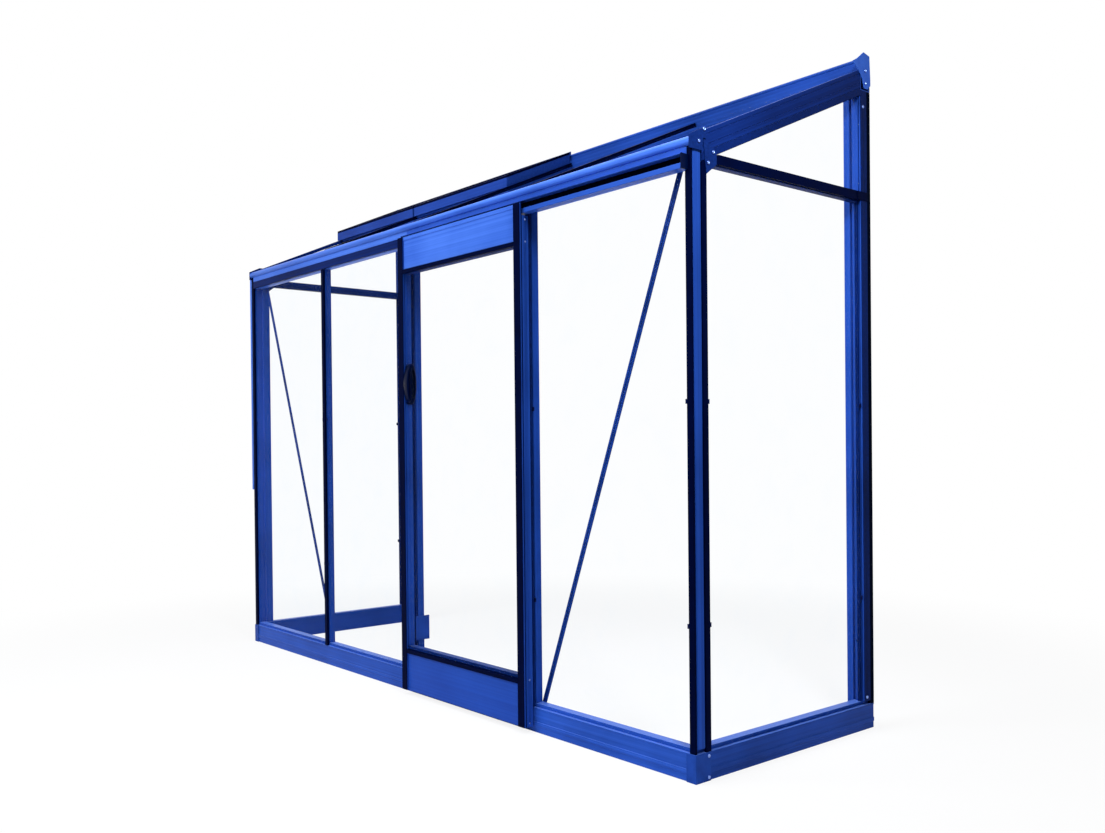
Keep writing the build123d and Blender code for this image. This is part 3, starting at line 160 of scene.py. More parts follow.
@dataclass(frozen=True)
class PowderCoat:
    """Powder-coated aluminium: a satin coat with a faint orange peel over drawn metal.

    Long streaks of lighter and darker blue run along the section: partly die lines that show
    through the coat, partly painted light and shade of the section's ribs. Broad clouds of the two
    blues are partly random tone, partly a painted gradient of light. Faces that look up are paler:
    partly a trace of pale dust, partly painted light on upward faces.
    """

    name: str
    colour: str
    shade: str
    drawn: Drawn | None = None
    roughness: Span = (0.3, 0.44)
    gloss: float = 0.06
    gloss_tint: str = "#5F88F5"
    # A paler blue on faces that look up: partly dust, partly painted light falling on them.
    dust_and_top_light: float = 0.14
    dust_and_top_light_colour: str = "#6A90EC"
    dust_and_top_light_tilt: Span = (0.6, 1.0)  # how far a face looks up where dust and painted top light start and where they are full
    line_mm: float = 8.0  # real die lines are finer, drawn coarser so that they show; the streaks also paint rib shade
    line_length_mm: float = 1600.0
    line_depth_mm: float = 0.6
    line_strength: float = 0.3
    mottle_mm: float = 40.0  # on sheet, which has no die lines
    cloud_mm: float = 320.0
    tones: Span = (0.7, 1.3)  # sums of streaks and clouds that give the full shade and colour
    peel_mm: float = 5.0  # real peel is near 1 mm, drawn coarser too
    peel_depth_mm: float = 0.2
    peel_strength: float = 0.08

    def build(self) -> Material:
        """Build the material.

        Returns:
            The finished material.
        """
        material, tree = new_material(self.name)
        place = add_node(tree, "ShaderNodeTexCoord").outputs["Object"]
        streaks = self._streaks(tree, place)
        rough = add_node(
            tree,
            "ShaderNodeMapRange",
            {
                "Value": streaks,
                "From Min": NOISE_SPAN[0],
                "From Max": NOISE_SPAN[1],
                "To Min": self.roughness[0],
                "To Max": self.roughness[1],
            },
        )
        coat = add_node(
            tree,
            "ShaderNodeBsdfPrincipled",
            {
                "Base Color": self._tone(tree, place, streaks),
                "Roughness": rough.outputs[0],
                "Normal": self._relief(tree, place, streaks),
                "Specular IOR Level": self.gloss,
                "Specular Tint": linear(self.gloss_tint),
            },
        )
        add_node(tree, "ShaderNodeOutputMaterial", {"Surface": coat.outputs[0]})
        return material

    def _streaks(self, tree: Tree, place: Socket) -> Socket:
        """Add the die lines, or an even mottle on sheet.

        Args:
            tree: The material's node tree.
            place: Coordinates in the part's frame.

        Returns:
            The pattern's value.
        """
        lines = (self.line_length_mm, self.line_mm, self.line_mm)
        sizes = lines if self.drawn else (self.mottle_mm,) * 3
        turned = add_node(
            tree,
            "ShaderNodeMapping",
            {
                "Vector": place,
                "Rotation": self.drawn.value if self.drawn else (0.0, 0.0, 0.0),
                "Scale": [size * MM for size in sizes],
            },
            vector_type="TEXTURE",
        )
        noise = add_node(
            tree, "ShaderNodeTexNoise", {"Vector": turned.outputs[0], "Scale": 1.0, "Detail": 2.0}
        )
        return noise.outputs[0]

    def _tone(self, tree: Tree, place: Socket, streaks: Socket) -> Socket:
        """Mix the two blues by streaks and clouds and pale what looks up, partly as painted light.

        Args:
            tree: The material's node tree.
            place: Coordinates in the part's frame.
            streaks: Value of the die lines.

        Returns:
            The colour.
        """
        # The streaks and clouds mix the two blues: partly die lines and random tone, partly painted light
        # and shade of the ribs and a painted gradient of light.
        cloud = add_node(
            tree, "ShaderNodeTexNoise", {"Vector": place, "Scale": 1 / (self.cloud_mm * MM), "Detail": 3.0}
        )
        both = add_node(tree, "ShaderNodeMath", {0: streaks, 1: cloud.outputs[0]}, operation="ADD")
        share = add_node(
            tree,
            "ShaderNodeMapRange",
            {"Value": both.outputs[0], "From Min": self.tones[0], "From Max": self.tones[1]},
        )
        tone = add_node(
            tree,
            "ShaderNodeMix",
            {SHARE: share.outputs[0], FIRST: linear(self.shade), SECOND: linear(self.colour)},
            data_type="RGBA",
        )
        # Faces that look up turn paler: partly a film of dust, partly painted light on upward faces.
        facing = add_node(tree, "ShaderNodeNewGeometry").outputs["Normal"]
        up = add_node(tree, "ShaderNodeSeparateXYZ", {0: facing})
        upward_share = add_node(
            tree,
            "ShaderNodeMapRange",
            {
                "Value": up.outputs["Z"],
                "From Min": self.dust_and_top_light_tilt[0],
                "From Max": self.dust_and_top_light_tilt[1],
                "To Max": self.dust_and_top_light,
            },
        )
        dusty_and_lit = add_node(
            tree,
            "ShaderNodeMix",
            {SHARE: upward_share.outputs[0], FIRST: tone.outputs[MIXED], SECOND: linear(self.dust_and_top_light_colour)},
            data_type="RGBA",
        )
        return dusty_and_lit.outputs[MIXED]

    def _relief(self, tree: Tree, place: Socket, streaks: Socket) -> Socket:
        """Raise the die lines and the peel a little.

        Args:
            tree: The material's node tree.
            place: Coordinates in the part's frame.
            streaks: Value of the die lines.

        Returns:
            The bumped normal.
        """
        lines = add_node(
            tree,
            "ShaderNodeBump",
            {"Height": streaks, "Strength": self.line_strength, "Distance": self.line_depth_mm * MM},
        )
        peel = add_node(
            tree, "ShaderNodeTexNoise", {"Vector": place, "Scale": 1 / (self.peel_mm * MM), "Detail": 1.0}
        )
        bump = add_node(
            tree,
            "ShaderNodeBump",
            {
                "Height": peel.outputs[0],
                "Strength": self.peel_strength,
                "Distance": self.peel_depth_mm * MM,
                "Normal": lines.outputs[0],
            },
        )
        return bump.outputs[0]


@dataclass(frozen=True)
class ExtrudedPlastic:
    """Extruded or moulded plastic: dark all through, with a soft sheen and faint flow marks."""

    name: str
    colour: str
    sheen: str
    roughness: Span = (0.35, 0.5)
    gloss: float = 0.1
    gloss_tint: str = "#4A70E0"
    flow_mm: float = 60.0
    grain_mm: float = 4.0  # real grain is finer, drawn coarser so that it shows
    grain_depth_mm: float = 0.2
    grain_strength: float = 0.08

    def build(self) -> Material:
        """Build the material.

        Returns:
            The finished material.
        """
        material, tree = new_material(self.name)
        place = add_node(tree, "ShaderNodeTexCoord").outputs["Object"]
        flow = add_node(
            tree, "ShaderNodeTexNoise", {"Vector": place, "Scale": 1 / (self.flow_mm * MM), "Detail": 2.0}
        )
        grain = add_node(tree, "ShaderNodeTexNoise", {"Vector": place, "Scale": 1 / (self.grain_mm * MM)})
        tone = add_node(
            tree,
            "ShaderNodeMix",
            {SHARE: flow.outputs[0], FIRST: linear(self.colour), SECOND: linear(self.sheen)},
            data_type="RGBA",
        )
        rough = add_node(
            tree,
            "ShaderNodeMapRange",
            {
                "Value": flow.outputs[0],
                "From Min": NOISE_SPAN[0],
                "From Max": NOISE_SPAN[1],
                "To Min": self.roughness[0],
                "To Max": self.roughness[1],
            },
        )
        bump = add_node(
            tree,
            "ShaderNodeBump",
            {
                "Height": grain.outputs[0],
                "Strength": self.grain_strength,
                "Distance": self.grain_depth_mm * MM,
            },
        )
        skin = add_node(
            tree,
            "ShaderNodeBsdfPrincipled",
            {
                "Base Color": tone.outputs[MIXED],
                "Roughness": rough.outputs[0],
                "Normal": bump.outputs[0],
                "Specular IOR Level": self.gloss,
                "Specular Tint": linear(self.gloss_tint),
            },
        )
        add_node(tree, "ShaderNodeOutputMaterial", {"Surface": skin.outputs[0]})
        return material


@dataclass(frozen=True)
class FloatGlass:
    """Toughened float glass: clear and flat, with a trace of blue and a few faint water marks."""

    name: str = "toughened float glass"
    tint: str = "#FDFEFF"
    marked: str = "#FBFDFF"
    ior: float = 1.5
    mark_mm: float = 90.0
    mark_span: Span = (0.5, 0.8)  # values of the pattern over which a mark comes in

    def build(self) -> Material:
        """Build the material.

        Returns:
            The finished material, which lets lamp light through.
        """
        material, tree = new_material(self.name)
        place = add_node(tree, "ShaderNodeTexCoord").outputs["Object"]
        marks = add_node(
            tree, "ShaderNodeTexNoise", {"Vector": place, "Scale": 1 / (self.mark_mm * MM), "Detail": 4.0}
        )
        share = add_node(
            tree,
            "ShaderNodeMapRange",
            {"Value": marks.outputs[0], "From Min": self.mark_span[0], "From Max": self.mark_span[1]},
        )
        tone = add_node(
            tree,
            "ShaderNodeMix",
            {SHARE: share.outputs[0], FIRST: linear(self.tint), SECOND: linear(self.marked)},
            data_type="RGBA",
        )
        pane = add_node(
            tree,
            "ShaderNodeBsdfPrincipled",
            {
                "Base Color": tone.outputs[MIXED],
                "Roughness": 0.0,
                "IOR": self.ior,
                "Transmission Weight": 1.0,
            },
        )
        clear = add_node(tree, "ShaderNodeBsdfTransparent", {"Color": tone.outputs[MIXED]})
        path = add_node(tree, "ShaderNodeLightPath")
        lets = add_node(
            tree,
            "ShaderNodeMath",
            {0: path.outputs["Is Shadow Ray"], 1: path.outputs["Is Diffuse Ray"]},
            operation="MAXIMUM",
        )
        surface = add_node(
            tree, "ShaderNodeMixShader", {0: lets.outputs[0], 1: pane.outputs[0], 2: clear.outputs[0]}
        )
        add_node(tree, "ShaderNodeOutputMaterial", {"Surface": surface.outputs[0]})
        return material


@dataclass(frozen=True)
class PlatedSteel:
    """Zinc-plated steel with a blue passivate: a bright bluish metal, finely turned."""

    name: str = "blue-passivated zinc-plated steel"
    colour: str = "#8EA9EA"
    worn: str = "#5F7FD0"
    roughness: Span = (0.22, 0.4)
    turning_mm: float = 2.0

    def build(self) -> Material:
        """Build the material.

        Returns:
            The finished material.
        """
        material, tree = new_material(self.name)
        place = add_node(tree, "ShaderNodeTexCoord").outputs["Object"]
        marks = add_node(
            tree, "ShaderNodeTexNoise", {"Vector": place, "Scale": 1 / (self.turning_mm * MM)}
        )
        tone = add_node(
            tree,
            "ShaderNodeMix",
            {SHARE: marks.outputs[0], FIRST: linear(self.worn), SECOND: linear(self.colour)},
            data_type="RGBA",
        )
        rough = add_node(
            tree,
            "ShaderNodeMapRange",
            {"Value": marks.outputs[0], "To Min": self.roughness[0], "To Max": self.roughness[1]},
        )
        metal = add_node(
            tree,
            "ShaderNodeBsdfPrincipled",
            {"Base Color": tone.outputs[MIXED], "Roughness": rough.outputs[0], "Metallic": 1.0},
        )
        add_node(tree, "ShaderNodeOutputMaterial", {"Surface": metal.outputs[0]})
        return material


def pair(piece: str) -> tuple[str, str]:
    """Name the left and right nodes of a piece that is there on both sides."""
    return (f"{piece}_left", f"{piece}_right")


def dress(material: Material, edge_mm: float, *nodes: str) -> None:
    """Give CAD nodes their finish and a small rolled edge.

    Args:
        material: Their finish.
        edge_mm: Radius of their edges, or zero to leave them as they are.
        nodes: Names of the CAD nodes.
    """
    for node in nodes:
        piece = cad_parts[node]
        piece.data.materials.clear()
        piece.data.materials.append(material)
        if edge_mm:
            weld = piece.modifiers.new("joined faces", "WELD")
            weld.merge_threshold = WELD_MM * MM
            bevel = piece.modifiers.new("rolled edge", "BEVEL")
            bevel.width = edge_mm * MM
            bevel.segments = EDGE_STEPS
            bevel.limit_method = "ANGLE"
            bevel.angle_limit = EDGE_ANGLE
            bevel.harden_normals = True
        LOG.info("%s: %s", node, material.name)


def add_piece(
    name: str, mesh: bmesh.types.BMesh, material: Material, body: Body
) -> bpy.types.Object:
    """Turn a finished mesh into a piece that rides on a body.

    Args:
        name: Name of the piece.
        mesh: Its mesh, in the part's frame.
        material: Its finish.
        body: Body that it rides on.

    Returns:
        The new object.
    """
    data = bpy.data.meshes.new(name)
    mesh.to_mesh(data)
    mesh.free()
    data.materials.append(material)
    piece = bpy.data.objects.new(name, data)
    bpy.context.scene.collection.objects.link(piece)
    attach(piece, body.value)
    LOG.info("%s: %d faces, %s", name, len(data.polygons), material.name)
    return piece


@dataclass
class BaseAndPosts:
    """Base rails, posts and bars, with the strips that meet the wall."""

    bar_edge_mm: float = 1.0
    plate_edge_mm: float = 0.6
    brace_edge_mm: float = 0.5
    seal_edge_mm: float = 1.5
    base_dust_and_highlight: float = 0.45  # the base's ledges are paler than the bars above: partly more dust, partly a painted highlight

    def build(self) -> None:
        """Dress the base rails, the posts, the bars and the strips."""
        front = PowderCoat("powder-coated aluminium, front base", *BLUE, Drawn.LENGTH, dust_and_top_light=self.base_dust_and_highlight)
        # The end bases, bars and plates take the painted-shade blue.
        end = PowderCoat("powder-coated aluminium, end base", *SHADED_BLUE, Drawn.DEPTH, dust_and_top_light=self.base_dust_and_highlight)
        # The wall posts' blue is a little darker than the coat's own: painted shade.
        post = PowderCoat("powder-coated aluminium wall post", "#2750B2", "#1B3E92", Drawn.HEIGHT)
        bar = PowderCoat("powder-coated aluminium bar", *SHADED_BLUE, Drawn.HEIGHT)
        plate = PowderCoat("powder-coated aluminium plate", *SHADED_BLUE)
        brace = PowderCoat("powder-coated aluminium brace", "#16388A", "#0D2868")
        rubber = ExtrudedPlastic(
            "EPDM rubber seal", "#00030F", "#000619", roughness=(0.65, 0.8), gloss=0.01
        )
        bars = (*pair("corner_post"), "glazing_bar", *pair("door_post"))
        dress(front.build(), self.bar_edge_mm, "base_front")
        dress(end.build(), self.bar_edge_mm, *pair("base"))
        dress(post.build(), self.bar_edge_mm, *pair("wall_post"))
        dress(bar.build(), self.bar_edge_mm, *bars)
        dress(plate.build(), self.plate_edge_mm, "base_corner_covers", "jamb_plate")
        dress(brace.build(), self.brace_edge_mm, *pair("wind_brace"))
        dress(rubber.build(), self.seal_edge_mm, "wall_seals")


@dataclass
class EavesAndRoof:
    """Eaves beam, gutter, gables and roof."""

    bar_edge_mm: float = 1.0
    plate_edge_mm: float = 0.6
    pipe_edge_mm: float = 0.5
    dull: float = 0.02  # gloss of the darkest bars

    def build(self) -> None:
        """Dress the eaves, the gables, the roof and the downpipe."""
        # The gutter and eaves beam are painted a lighter blue than the coat's own: painted light from
        # above.
        gutter = PowderCoat(
            "powder-coated aluminium gutter", "#4876DC", "#2E58B8", Drawn.LENGTH, gloss=0.1
        )
        track = PowderCoat("powder-coated aluminium track", *BLUE, Drawn.LENGTH)
        # The wall plate and roof bars take the painted-shade blue; the ties, gussets and gutter end caps
        # take the darker painted-shade blue.
        wall_plate = PowderCoat("powder-coated aluminium wall plate", *SHADED_BLUE, Drawn.LENGTH)
        roof_bar = PowderCoat("powder-coated aluminium roof bar", *SHADED_BLUE, Drawn.SLOPE)
        tie = PowderCoat("powder-coated aluminium tie", *DARKER_SHADED_BLUE, Drawn.DEPTH, gloss=self.dull)
        # The rafters' dark blue is painted shade; their coat is the same as on the other bars.
        rafter = PowderCoat(
            "powder-coated aluminium rafter", "#0F2A72", "#081D56", Drawn.SLOPE, gloss=self.dull
        )
        # The end caps' lighter blue is painted light; their coat is the same as on the bars.
        end_cap = PowderCoat("powder-coated aluminium end cap", "#3A68D0", "#2B57BC")
        gusset = PowderCoat("powder-coated aluminium gusset", *DARKER_SHADED_BLUE, Drawn.LENGTH, gloss=self.dull)
        # The edge cappings' dark blue is painted shade under the eaves and beside the door.
        capping = PowderCoat(
            "powder-coated aluminium edge capping", "#0A2262", "#051644", Drawn.LENGTH, gloss=self.dull
        )
        pipe = ExtrudedPlastic(
            "unplasticised PVC pipe", "#3F6ACB", "#5580E0", roughness=(0.3, 0.4), gloss=0.3
        )
        dress(gutter.build(), self.bar_edge_mm, "eaves_beam", "gutter")
        dress(track.build(), self.bar_edge_mm, "door_track")
        dress(wall_plate.build(), self.bar_edge_mm, "vent_sills", "wall_plate")
        dress(roof_bar.build(), self.bar_edge_mm, "roof_bars")
        dress(tie.build(), self.bar_edge_mm, *pair("gable_tie"))
        dress(rafter.build(), self.bar_edge_mm, *pair("rafter"))
        dress(end_cap.build(), self.plate_edge_mm, "wall_plate_end_caps")
        dress(gusset.build(), self.plate_edge_mm, "eaves_gussets", "gutter_end_caps")
        dress(capping.build(), self.plate_edge_mm, "edge_cappings")
        dress(pipe.build(), self.pipe_edge_mm, "downpipe")


@dataclass
class Glazing:
    """Panes, and the cappings and clips that hold them."""

    pane_edge_mm: float = 0.0  # left as cut
    capping_edge_mm: float = 1.2
    clip_edge_mm: float = 0.6
    coated_ior: float = 1.04  # a coat against reflections works as a pane of lower IOR would

    def build(self) -> None:
        """Dress the panes and what holds them."""
        coated = FloatGlass("float glass with an anti-reflection coat", ior=self.coated_ior)
        plain = FloatGlass()
        capping = ExtrudedPlastic("extruded black PVC capping", "#00031C", "#000830", gloss=0.01)
        clip = ExtrudedPlastic("moulded nylon clip", "#040D34", "#081646")
        walls = ("front_panes_left", "front_pane_right", *pair("end_panes"), "door_glass")
        cappings = ("wall_cappings", "roof_cappings", "door_cappings", *pair("vent_capping"))
        dress(coated.build(), self.pane_edge_mm, *walls)
        dress(plain.build(), self.pane_edge_mm, "roof_panes", *pair("vent_glass"))
        dress(capping.build(), self.capping_edge_mm, *cappings)
        dress(clip.build(), self.clip_edge_mm, "glazing_clips")


@dataclass
class SlidingDoor:
    """The sliding door with its panels, pull, rollers and stops."""

    edge_mm: float = 0.8
    hanger_edge_mm: float = 0.5
    moulding_edge_mm: float = 0.6
    strip_in_mm: float = 2.0  # pile strip's ends, in from the track's
    strip_depth_mm: Span = (3.05, 4.4)  # its back and its face, in from the track's back
    strip_height_mm: Span = (6.0, 40.5)  # its foot and its top, above the track's foot

    def build(self) -> None:
        """Dress the door and what it runs on."""
        # The stiles take the painted-shade blue and the rails the darker painted-shade blue.
        stile = PowderCoat("powder-coated aluminium stile", *SHADED_BLUE, Drawn.HEIGHT)
        rail = PowderCoat("powder-coated aluminium rail", *DARKER_SHADED_BLUE, Drawn.LENGTH, gloss=0.01).build()
        # The top panel's lighter blue is painted light and the kick panel's darker blue painted shade.
        panel = PowderCoat("powder-coated aluminium panel", "#4573DA", "#2A56BC", Drawn.LENGTH)
        kick = PowderCoat("powder-coated aluminium kick panel", "#1F4AAC", "#163A94", Drawn.LENGTH)
        nylon = ExtrudedPlastic(
            "glass-filled nylon moulding", "#000312", "#000A30", roughness=(0.25, 0.4), gloss=0.06
        )
        acetal = ExtrudedPlastic("acetal roller", "#010512", "#030922")
        dress(stile.build(), self.edge_mm, "door_stiles")
        dress(rail, self.edge_mm, "door_rails")
        dress(rail, self.hanger_edge_mm, "door_hangers")
        dress(panel.build(), self.edge_mm, "door_top_panel")
        dress(kick.build(), self.edge_mm, "door_kick_panel")
        dress(nylon.build(), self.moulding_edge_mm, "door_handle", "door_guide_shoes", "track_stops")
        dress(acetal.build(), self.edge_mm, *pair("door_roller"))
        self._pile_and_shade_lining()

    def _pile_and_shade_lining(self) -> None:
        """Line the track's back with a draught-proof pile strip whose black is partly painted shade."""
        # The pile's black is partly painted shade: it darkens the inside of the track's channel.
        pile = ExtrudedPlastic(
            "black polypropylene pile",
            "#00020C",
            "#010416",
            roughness=(0.8, 0.95),
            gloss=0.02,
            grain_mm=2.0,
        )
        low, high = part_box("door_track")
        back, face = (high.y - inset * MM for inset in self.strip_depth_mm)
        foot, top = (low.z + rise * MM for rise in self.strip_height_mm)
        start = Vector((low.x + self.strip_in_mm * MM, face, foot))
        stop = Vector((high.x - self.strip_in_mm * MM, back, top))
        mesh = bmesh.new()
        bmesh.ops.create_cube(mesh, size=1.0)
        bmesh.ops.scale(mesh, vec=stop - start, verts=mesh.verts)
        bmesh.ops.translate(mesh, vec=(start + stop) / 2, verts=mesh.verts)
        add_piece("track_pile_and_shade_lining", mesh, pile.build(), Body.FRAME)


@dataclass
class RoofVents:
    """The two roof vents with their stays."""

    frame_edge_mm: float = 0.8
    stay_edge_mm: float = 0.5

    def build(self) -> None:
        """Dress the vent frames and their stays."""
        # The vents' darker blue is painted shade; their coat is the same as on the bars.
        coat = PowderCoat("powder-coated aluminium vent", "#2145A0", "#163586", Drawn.LENGTH).build()
        dress(coat, self.frame_edge_mm, *pair("vent_frame"))
        dress(coat, self.stay_edge_mm, *pair("vent_stay"))


@dataclass(frozen=True)
class Fixing:
    """One kind of fastener: its CAD node, the piece in its place, its body, and its head."""

    node: str
    piece: str
    body: Body
    radius_mm: float
    height_mm: float


@dataclass(frozen=True)
class Seat:
    """Where a fastener sits: the top of its head and the way that faces."""

    top: Vector
    out: Vector


@dataclass
class Fasteners:
    """Bolts and screws with domed heads and a hexagon socket."""

    kinds: tuple[Fixing, ...] = (
        Fixing("frame_bolts", "frame_bolts_socketed", Body.FRAME, radius_mm=5.0, height_mm=4.0),
        Fixing("door_screws", "door_screws_socketed", Body.DOOR, radius_mm=4.0, height_mm=2.0),
    )
    sides: int = 24
    # The dome's rings, from the seat up: shares of the head's radius, and of its height from the top
    dome: tuple[Span, ...] = ((1.0, -1.0), (1.0, -0.45), (0.94, -0.22), (0.78, -0.06), (0.6, 0.0))
    socket: float = 0.5  # across the corners, as a share of the head
    socket_lip: float = 0.02  # how far its mouth lies below the top, as a share of the height
    socket_depth: float = 0.6  # as a share of the head's height
    joined_mm: float = 0.001  # corners this near are one
    end_mm: float = 2.5  # how much of a fastener counts as its end
    sorted_to: int = 5  # digits of the places that the heads are sorted by

    def build(self) -> None:
        """Replace the plain bolts and screws."""
        steel = PlatedSteel().build()
        for kind in self.kinds:
            mesh = bmesh.new()
            for seat in self._seats(kind.node):
                self._head(mesh, seat, kind.radius_mm * MM, kind.height_mm * MM)
            piece = add_piece(kind.piece, mesh, steel, kind.body)
            for face in piece.data.polygons:
                face.use_smooth = True
            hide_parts(kind.node)

    def _seats(self, node: str) -> list[Seat]:
        """Find the heads of a CAD node's fasteners.

        Args:
            node: CAD node of bolts or screws.

        Returns:
            One seat for each of them.
        """
        mesh = bmesh.new()
        mesh.from_mesh(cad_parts[node].data)
        bmesh.ops.remove_doubles(mesh, verts=mesh.verts, dist=self.joined_mm * MM)
        seats: list[Seat] = []
        unseen = set(mesh.verts)
        while unseen:
            front = [unseen.pop()]
            island = list(front)
            while front:
                near = [e.other_vert(v) for v in front for e in v.link_edges]
                front = [v for v in dict.fromkeys(near) if v in unseen]
                unseen.difference_update(front)
                island += front
            seats.append(self._seat([v.co.copy() for v in island]))
        mesh.free()
        return sorted(seats, key=lambda s: tuple(round(c, self.sorted_to) for c in s.top))

    def _seat(self, points: Sequence[Vector]) -> Seat:
        """Read one fastener's axis, and the end that its head is at.

        Args:
            points: Its corners.

        Returns:
            Its seat.
        """
        low = Vector([min(p[i] for p in points) for i in range(3)])
        high = Vector([max(p[i] for p in points) for i in range(3)])
        size = high - low
        axis = min(range(3), key=lambda i: size[i])
        across = [i for i in range(3) if i != axis]
        middle = (low + high) / 2

        def reach(end: float) -> float:
            """Widest place of the points near one end of the axis."""
            near = [p - middle for p in points if abs(p[axis] - end) < self.end_mm * MM]
            return max(math.hypot(*(p[i] for i in across)) for p in near)

        sign = 1.0 if reach(high[axis]) > reach(low[axis]) else -1.0
        out = Vector([sign if i == axis else 0.0 for i in range(3)])
        top = middle.copy()
        top[axis] = high[axis] if sign > 0 else low[axis]
        return Seat(top, out)

    def _head(self, mesh: bmesh.types.BMesh, seat: Seat, radius: float, height: float) -> None:
        """Add one domed head with its socket.

        Args:
            mesh: Mesh that gets the head.
            seat: Where it sits.
            radius: Radius of the head.
            height: Height of the head.
        """
        turn = Matrix.Translation(seat.top) @ seat.out.to_track_quat("Z", "Y").to_matrix().to_4x4()
        angles = [2 * math.pi * i / self.sides for i in range(self.sides)]
        rings = [
            [(radius * r * math.cos(a), radius * r * math.sin(a), height * z) for a in angles]
            for r, z in self.dome
        ]
        half = math.pi / 6  # half the angle of a hexagon's side
        flat = radius * self.socket * math.cos(half)
        hexagon = [flat / math.cos((a + half) % (2 * half) - half) for a in angles]
        for z in (-self.socket_lip, -self.socket_depth):
            rings.append([(h * math.cos(a), h * math.sin(a), height * z) for h, a in zip(hexagon, angles)])
        corners = [[mesh.verts.new(turn @ Vector(p)) for p in ring] for ring in rings]
        for lower, upper in zip(corners, corners[1:]):
            for i in range(self.sides):
                j = (i + 1) % self.sides
                mesh.faces.new((lower[i], lower[j], upper[j], upper[i]))
        mesh.faces.new(corners[-1])
        mesh.faces.new(list(reversed(corners[0])))


@dataclass(frozen=True)
class SoftBox:
    """A square soft box: where it hangs, what it is aimed at, its side, power in watts and spread."""

    name: str
    place: Place
    aim: Place
    side: float
    power: float
    spread: float = 180.0  # degrees, less with a grid on it


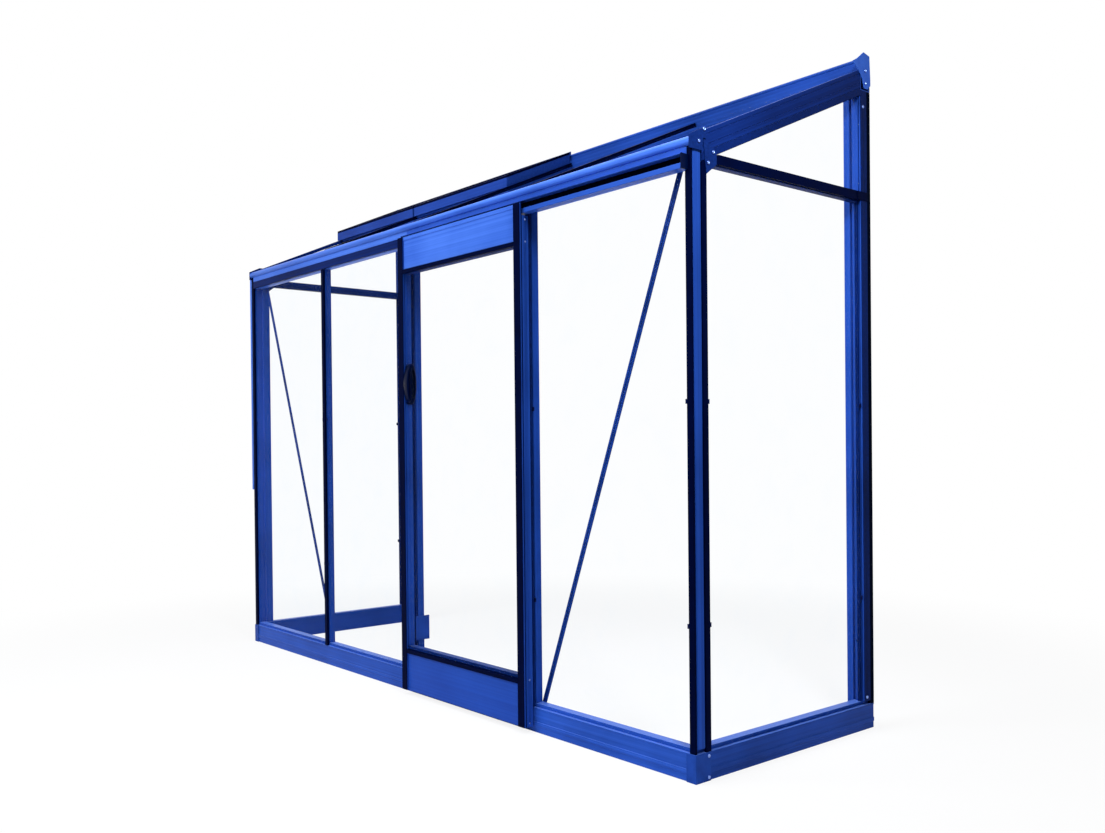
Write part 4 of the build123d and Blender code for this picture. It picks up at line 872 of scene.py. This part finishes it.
@dataclass
class Studio:
    """Pale floor, soft light and the camera."""

    white: str = "#FFFFFF"
    ambient: float = 0.2
    floor_colour: str = "#F4F6FA"
    floor_radius: float = 40.0
    floor_sides: int = 96
    floor_drop_mm: float = 0.5  # below the part's feet, so that no two faces share a plane
    fade_over: Span = (1.6, 3.6)  # distances over which the floor turns white
    fade_share: Span = (0.86, 1.0)  # how white it is at those distances
    # One before the front, one overhead, and a small gridded one that lights the right end
    lamps: tuple[SoftBox, ...] = (
        SoftBox("front soft box", (-0.3, -3.4, 3.4), (0.3, 0.0, 1.0), side=2.4, power=132.0),
        SoftBox("overhead soft box", (0.0, -0.5, 4.8), (0.0, 0.0, 1.0), side=2.4, power=80.0),
        SoftBox(
            "end soft box", (2.9, -1.0, 3.0), (1.35, 0.0, 1.15), side=0.5, power=17.0, spread=84.0
        ),
    )
    eye: Place = (3.521, -2.6395, 0.982)
    azimuth: float = 49.79
    pitch: float = 0.51
    roll: float = -0.57
    focal_px: float = 1038.5
    middle_px: Span = (557.7, 452.8)
    photo_px: tuple[int, int] = (1105, 833)
    sensor_mm: float = 36.0
    sight: float = 200.0  # how far the camera sees

    def build(self) -> None:
        """Set up the floor, the light and the camera."""
        bpy.context.scene.view_settings.view_transform = "Standard"
        self._world()
        self._floor()
        self._lamps()
        self._camera()

    def _seen(self, tree: Tree) -> Socket:
        """Add a value that is one on rays that see the background.

        Args:
            tree: Node tree that gets the nodes.

        Returns:
            The value's socket.
        """
        path = add_node(tree, "ShaderNodeLightPath")
        mirror = add_node(
            tree,
            "ShaderNodeMath",
            {0: path.outputs["Is Glossy Ray"], 1: path.outputs["Is Transmission Ray"]},
            operation="MAXIMUM",
        )
        seen = add_node(
            tree,
            "ShaderNodeMath",
            {0: path.outputs["Is Camera Ray"], 1: mirror.outputs[0]},
            operation="MAXIMUM",
        )
        return seen.outputs[0]

    def _world(self) -> None:
        """Make a white surround that lights the part softly."""
        world = bpy.data.worlds.new("white studio")
        bpy.context.scene.world = world
        world.use_nodes = True
        tree = world.node_tree
        tree.nodes.clear()
        light, white = (
            add_node(tree, "ShaderNodeBackground", {"Color": linear(self.white), "Strength": strength})
            for strength in (self.ambient, 1.0)
        )
        both = add_node(
            tree,
            "ShaderNodeMixShader",
            {0: self._seen(tree), 1: light.outputs[0], 2: white.outputs[0]},
        )
        add_node(tree, "ShaderNodeOutputWorld", {"Surface": both.outputs[0]})

    def _floor(self) -> None:
        """Lay a pale floor that keeps a soft shadow near the part and fades to white around it."""
        material, tree = new_material("pale studio floor")
        place = add_node(tree, "ShaderNodeTexCoord").outputs["Object"]
        away = add_node(tree, "ShaderNodeVectorMath", {0: place}, operation="LENGTH")
        fade = add_node(
            tree,
            "ShaderNodeMapRange",
            {
                "Value": away.outputs["Value"],
                "From Min": self.fade_over[0],
                "From Max": self.fade_over[1],
                "To Min": self.fade_share[0],
                "To Max": self.fade_share[1],
            },
            interpolation_type="SMOOTHSTEP",
        )
        amount = add_node(
            tree, "ShaderNodeMath", {0: fade.outputs[0], 1: self._seen(tree)}, operation="MULTIPLY"
        )
        paint = add_node(tree, "ShaderNodeBsdfDiffuse", {"Color": linear(self.floor_colour)})
        white = add_node(tree, "ShaderNodeEmission", {"Color": linear(self.white), "Strength": 1.0})
        both = add_node(
            tree,
            "ShaderNodeMixShader",
            {0: amount.outputs[0], 1: paint.outputs[0], 2: white.outputs[0]},
        )
        add_node(tree, "ShaderNodeOutputMaterial", {"Surface": both.outputs[0]})
        mesh = bmesh.new()
        bmesh.ops.create_circle(mesh, cap_ends=True, segments=self.floor_sides, radius=self.floor_radius)
        data = bpy.data.meshes.new("floor")
        mesh.to_mesh(data)
        mesh.free()
        data.materials.append(material)
        floor = bpy.data.objects.new("floor", data)
        floor.location.z = -self.floor_drop_mm * MM
        bpy.context.scene.collection.objects.link(floor)

    def _lamps(self) -> None:
        """Hang the soft boxes."""
        for box in self.lamps:
            data = bpy.data.lights.new(box.name, "AREA")
            data.shape = "SQUARE"
            data.size = box.side
            data.energy = box.power
            data.spread = math.radians(box.spread)
            lamp = bpy.data.objects.new(box.name, data)
            lamp.location = box.place
            aim = Vector(box.aim) - Vector(box.place)
            lamp.rotation_euler = aim.to_track_quat("-Z", "Y").to_euler()
            bpy.context.scene.collection.objects.link(lamp)

    def _camera(self) -> None:
        """Stand the camera where the photograph was taken from."""
        a, p, r = (math.radians(v) for v in (self.azimuth, self.pitch, self.roll))
        ahead = Vector((-math.sin(a) * math.cos(p), math.cos(a) * math.cos(p), -math.sin(p)))
        level = Vector((math.cos(a), math.sin(a), 0.0))
        above = level.cross(ahead)
        right = math.cos(r) * level + math.sin(r) * above
        up = -math.sin(r) * level + math.cos(r) * above
        width, height = self.photo_px
        data = bpy.data.cameras.new("camera")
        data.sensor_width = self.sensor_mm
        data.lens = self.focal_px * self.sensor_mm / width
        data.shift_x = (width / 2 - self.middle_px[0]) / width
        data.shift_y = (self.middle_px[1] - height / 2) / width
        data.clip_end = self.sight
        camera = bpy.data.objects.new("camera", data)
        turn = Matrix((right, up, -ahead)).transposed().to_4x4()
        camera.matrix_world = Matrix.Translation(self.eye) @ turn
        bpy.context.scene.collection.objects.link(camera)
        bpy.context.scene.camera = camera


def main() -> None:
    """Build the greenhouse's looks and the studio."""
    logging.basicConfig(level=logging.INFO, format="%(name)s: %(message)s")
    assemblies = (
        BaseAndPosts(),
        EavesAndRoof(),
        Glazing(),
        SlidingDoor(),
        RoofVents(),
        Fasteners(),
        Studio(),
    )
    for assembly in assemblies:
        assembly.build()
        LOG.info("%s built", type(assembly).__name__)


if __name__ == "__main__":
    main()
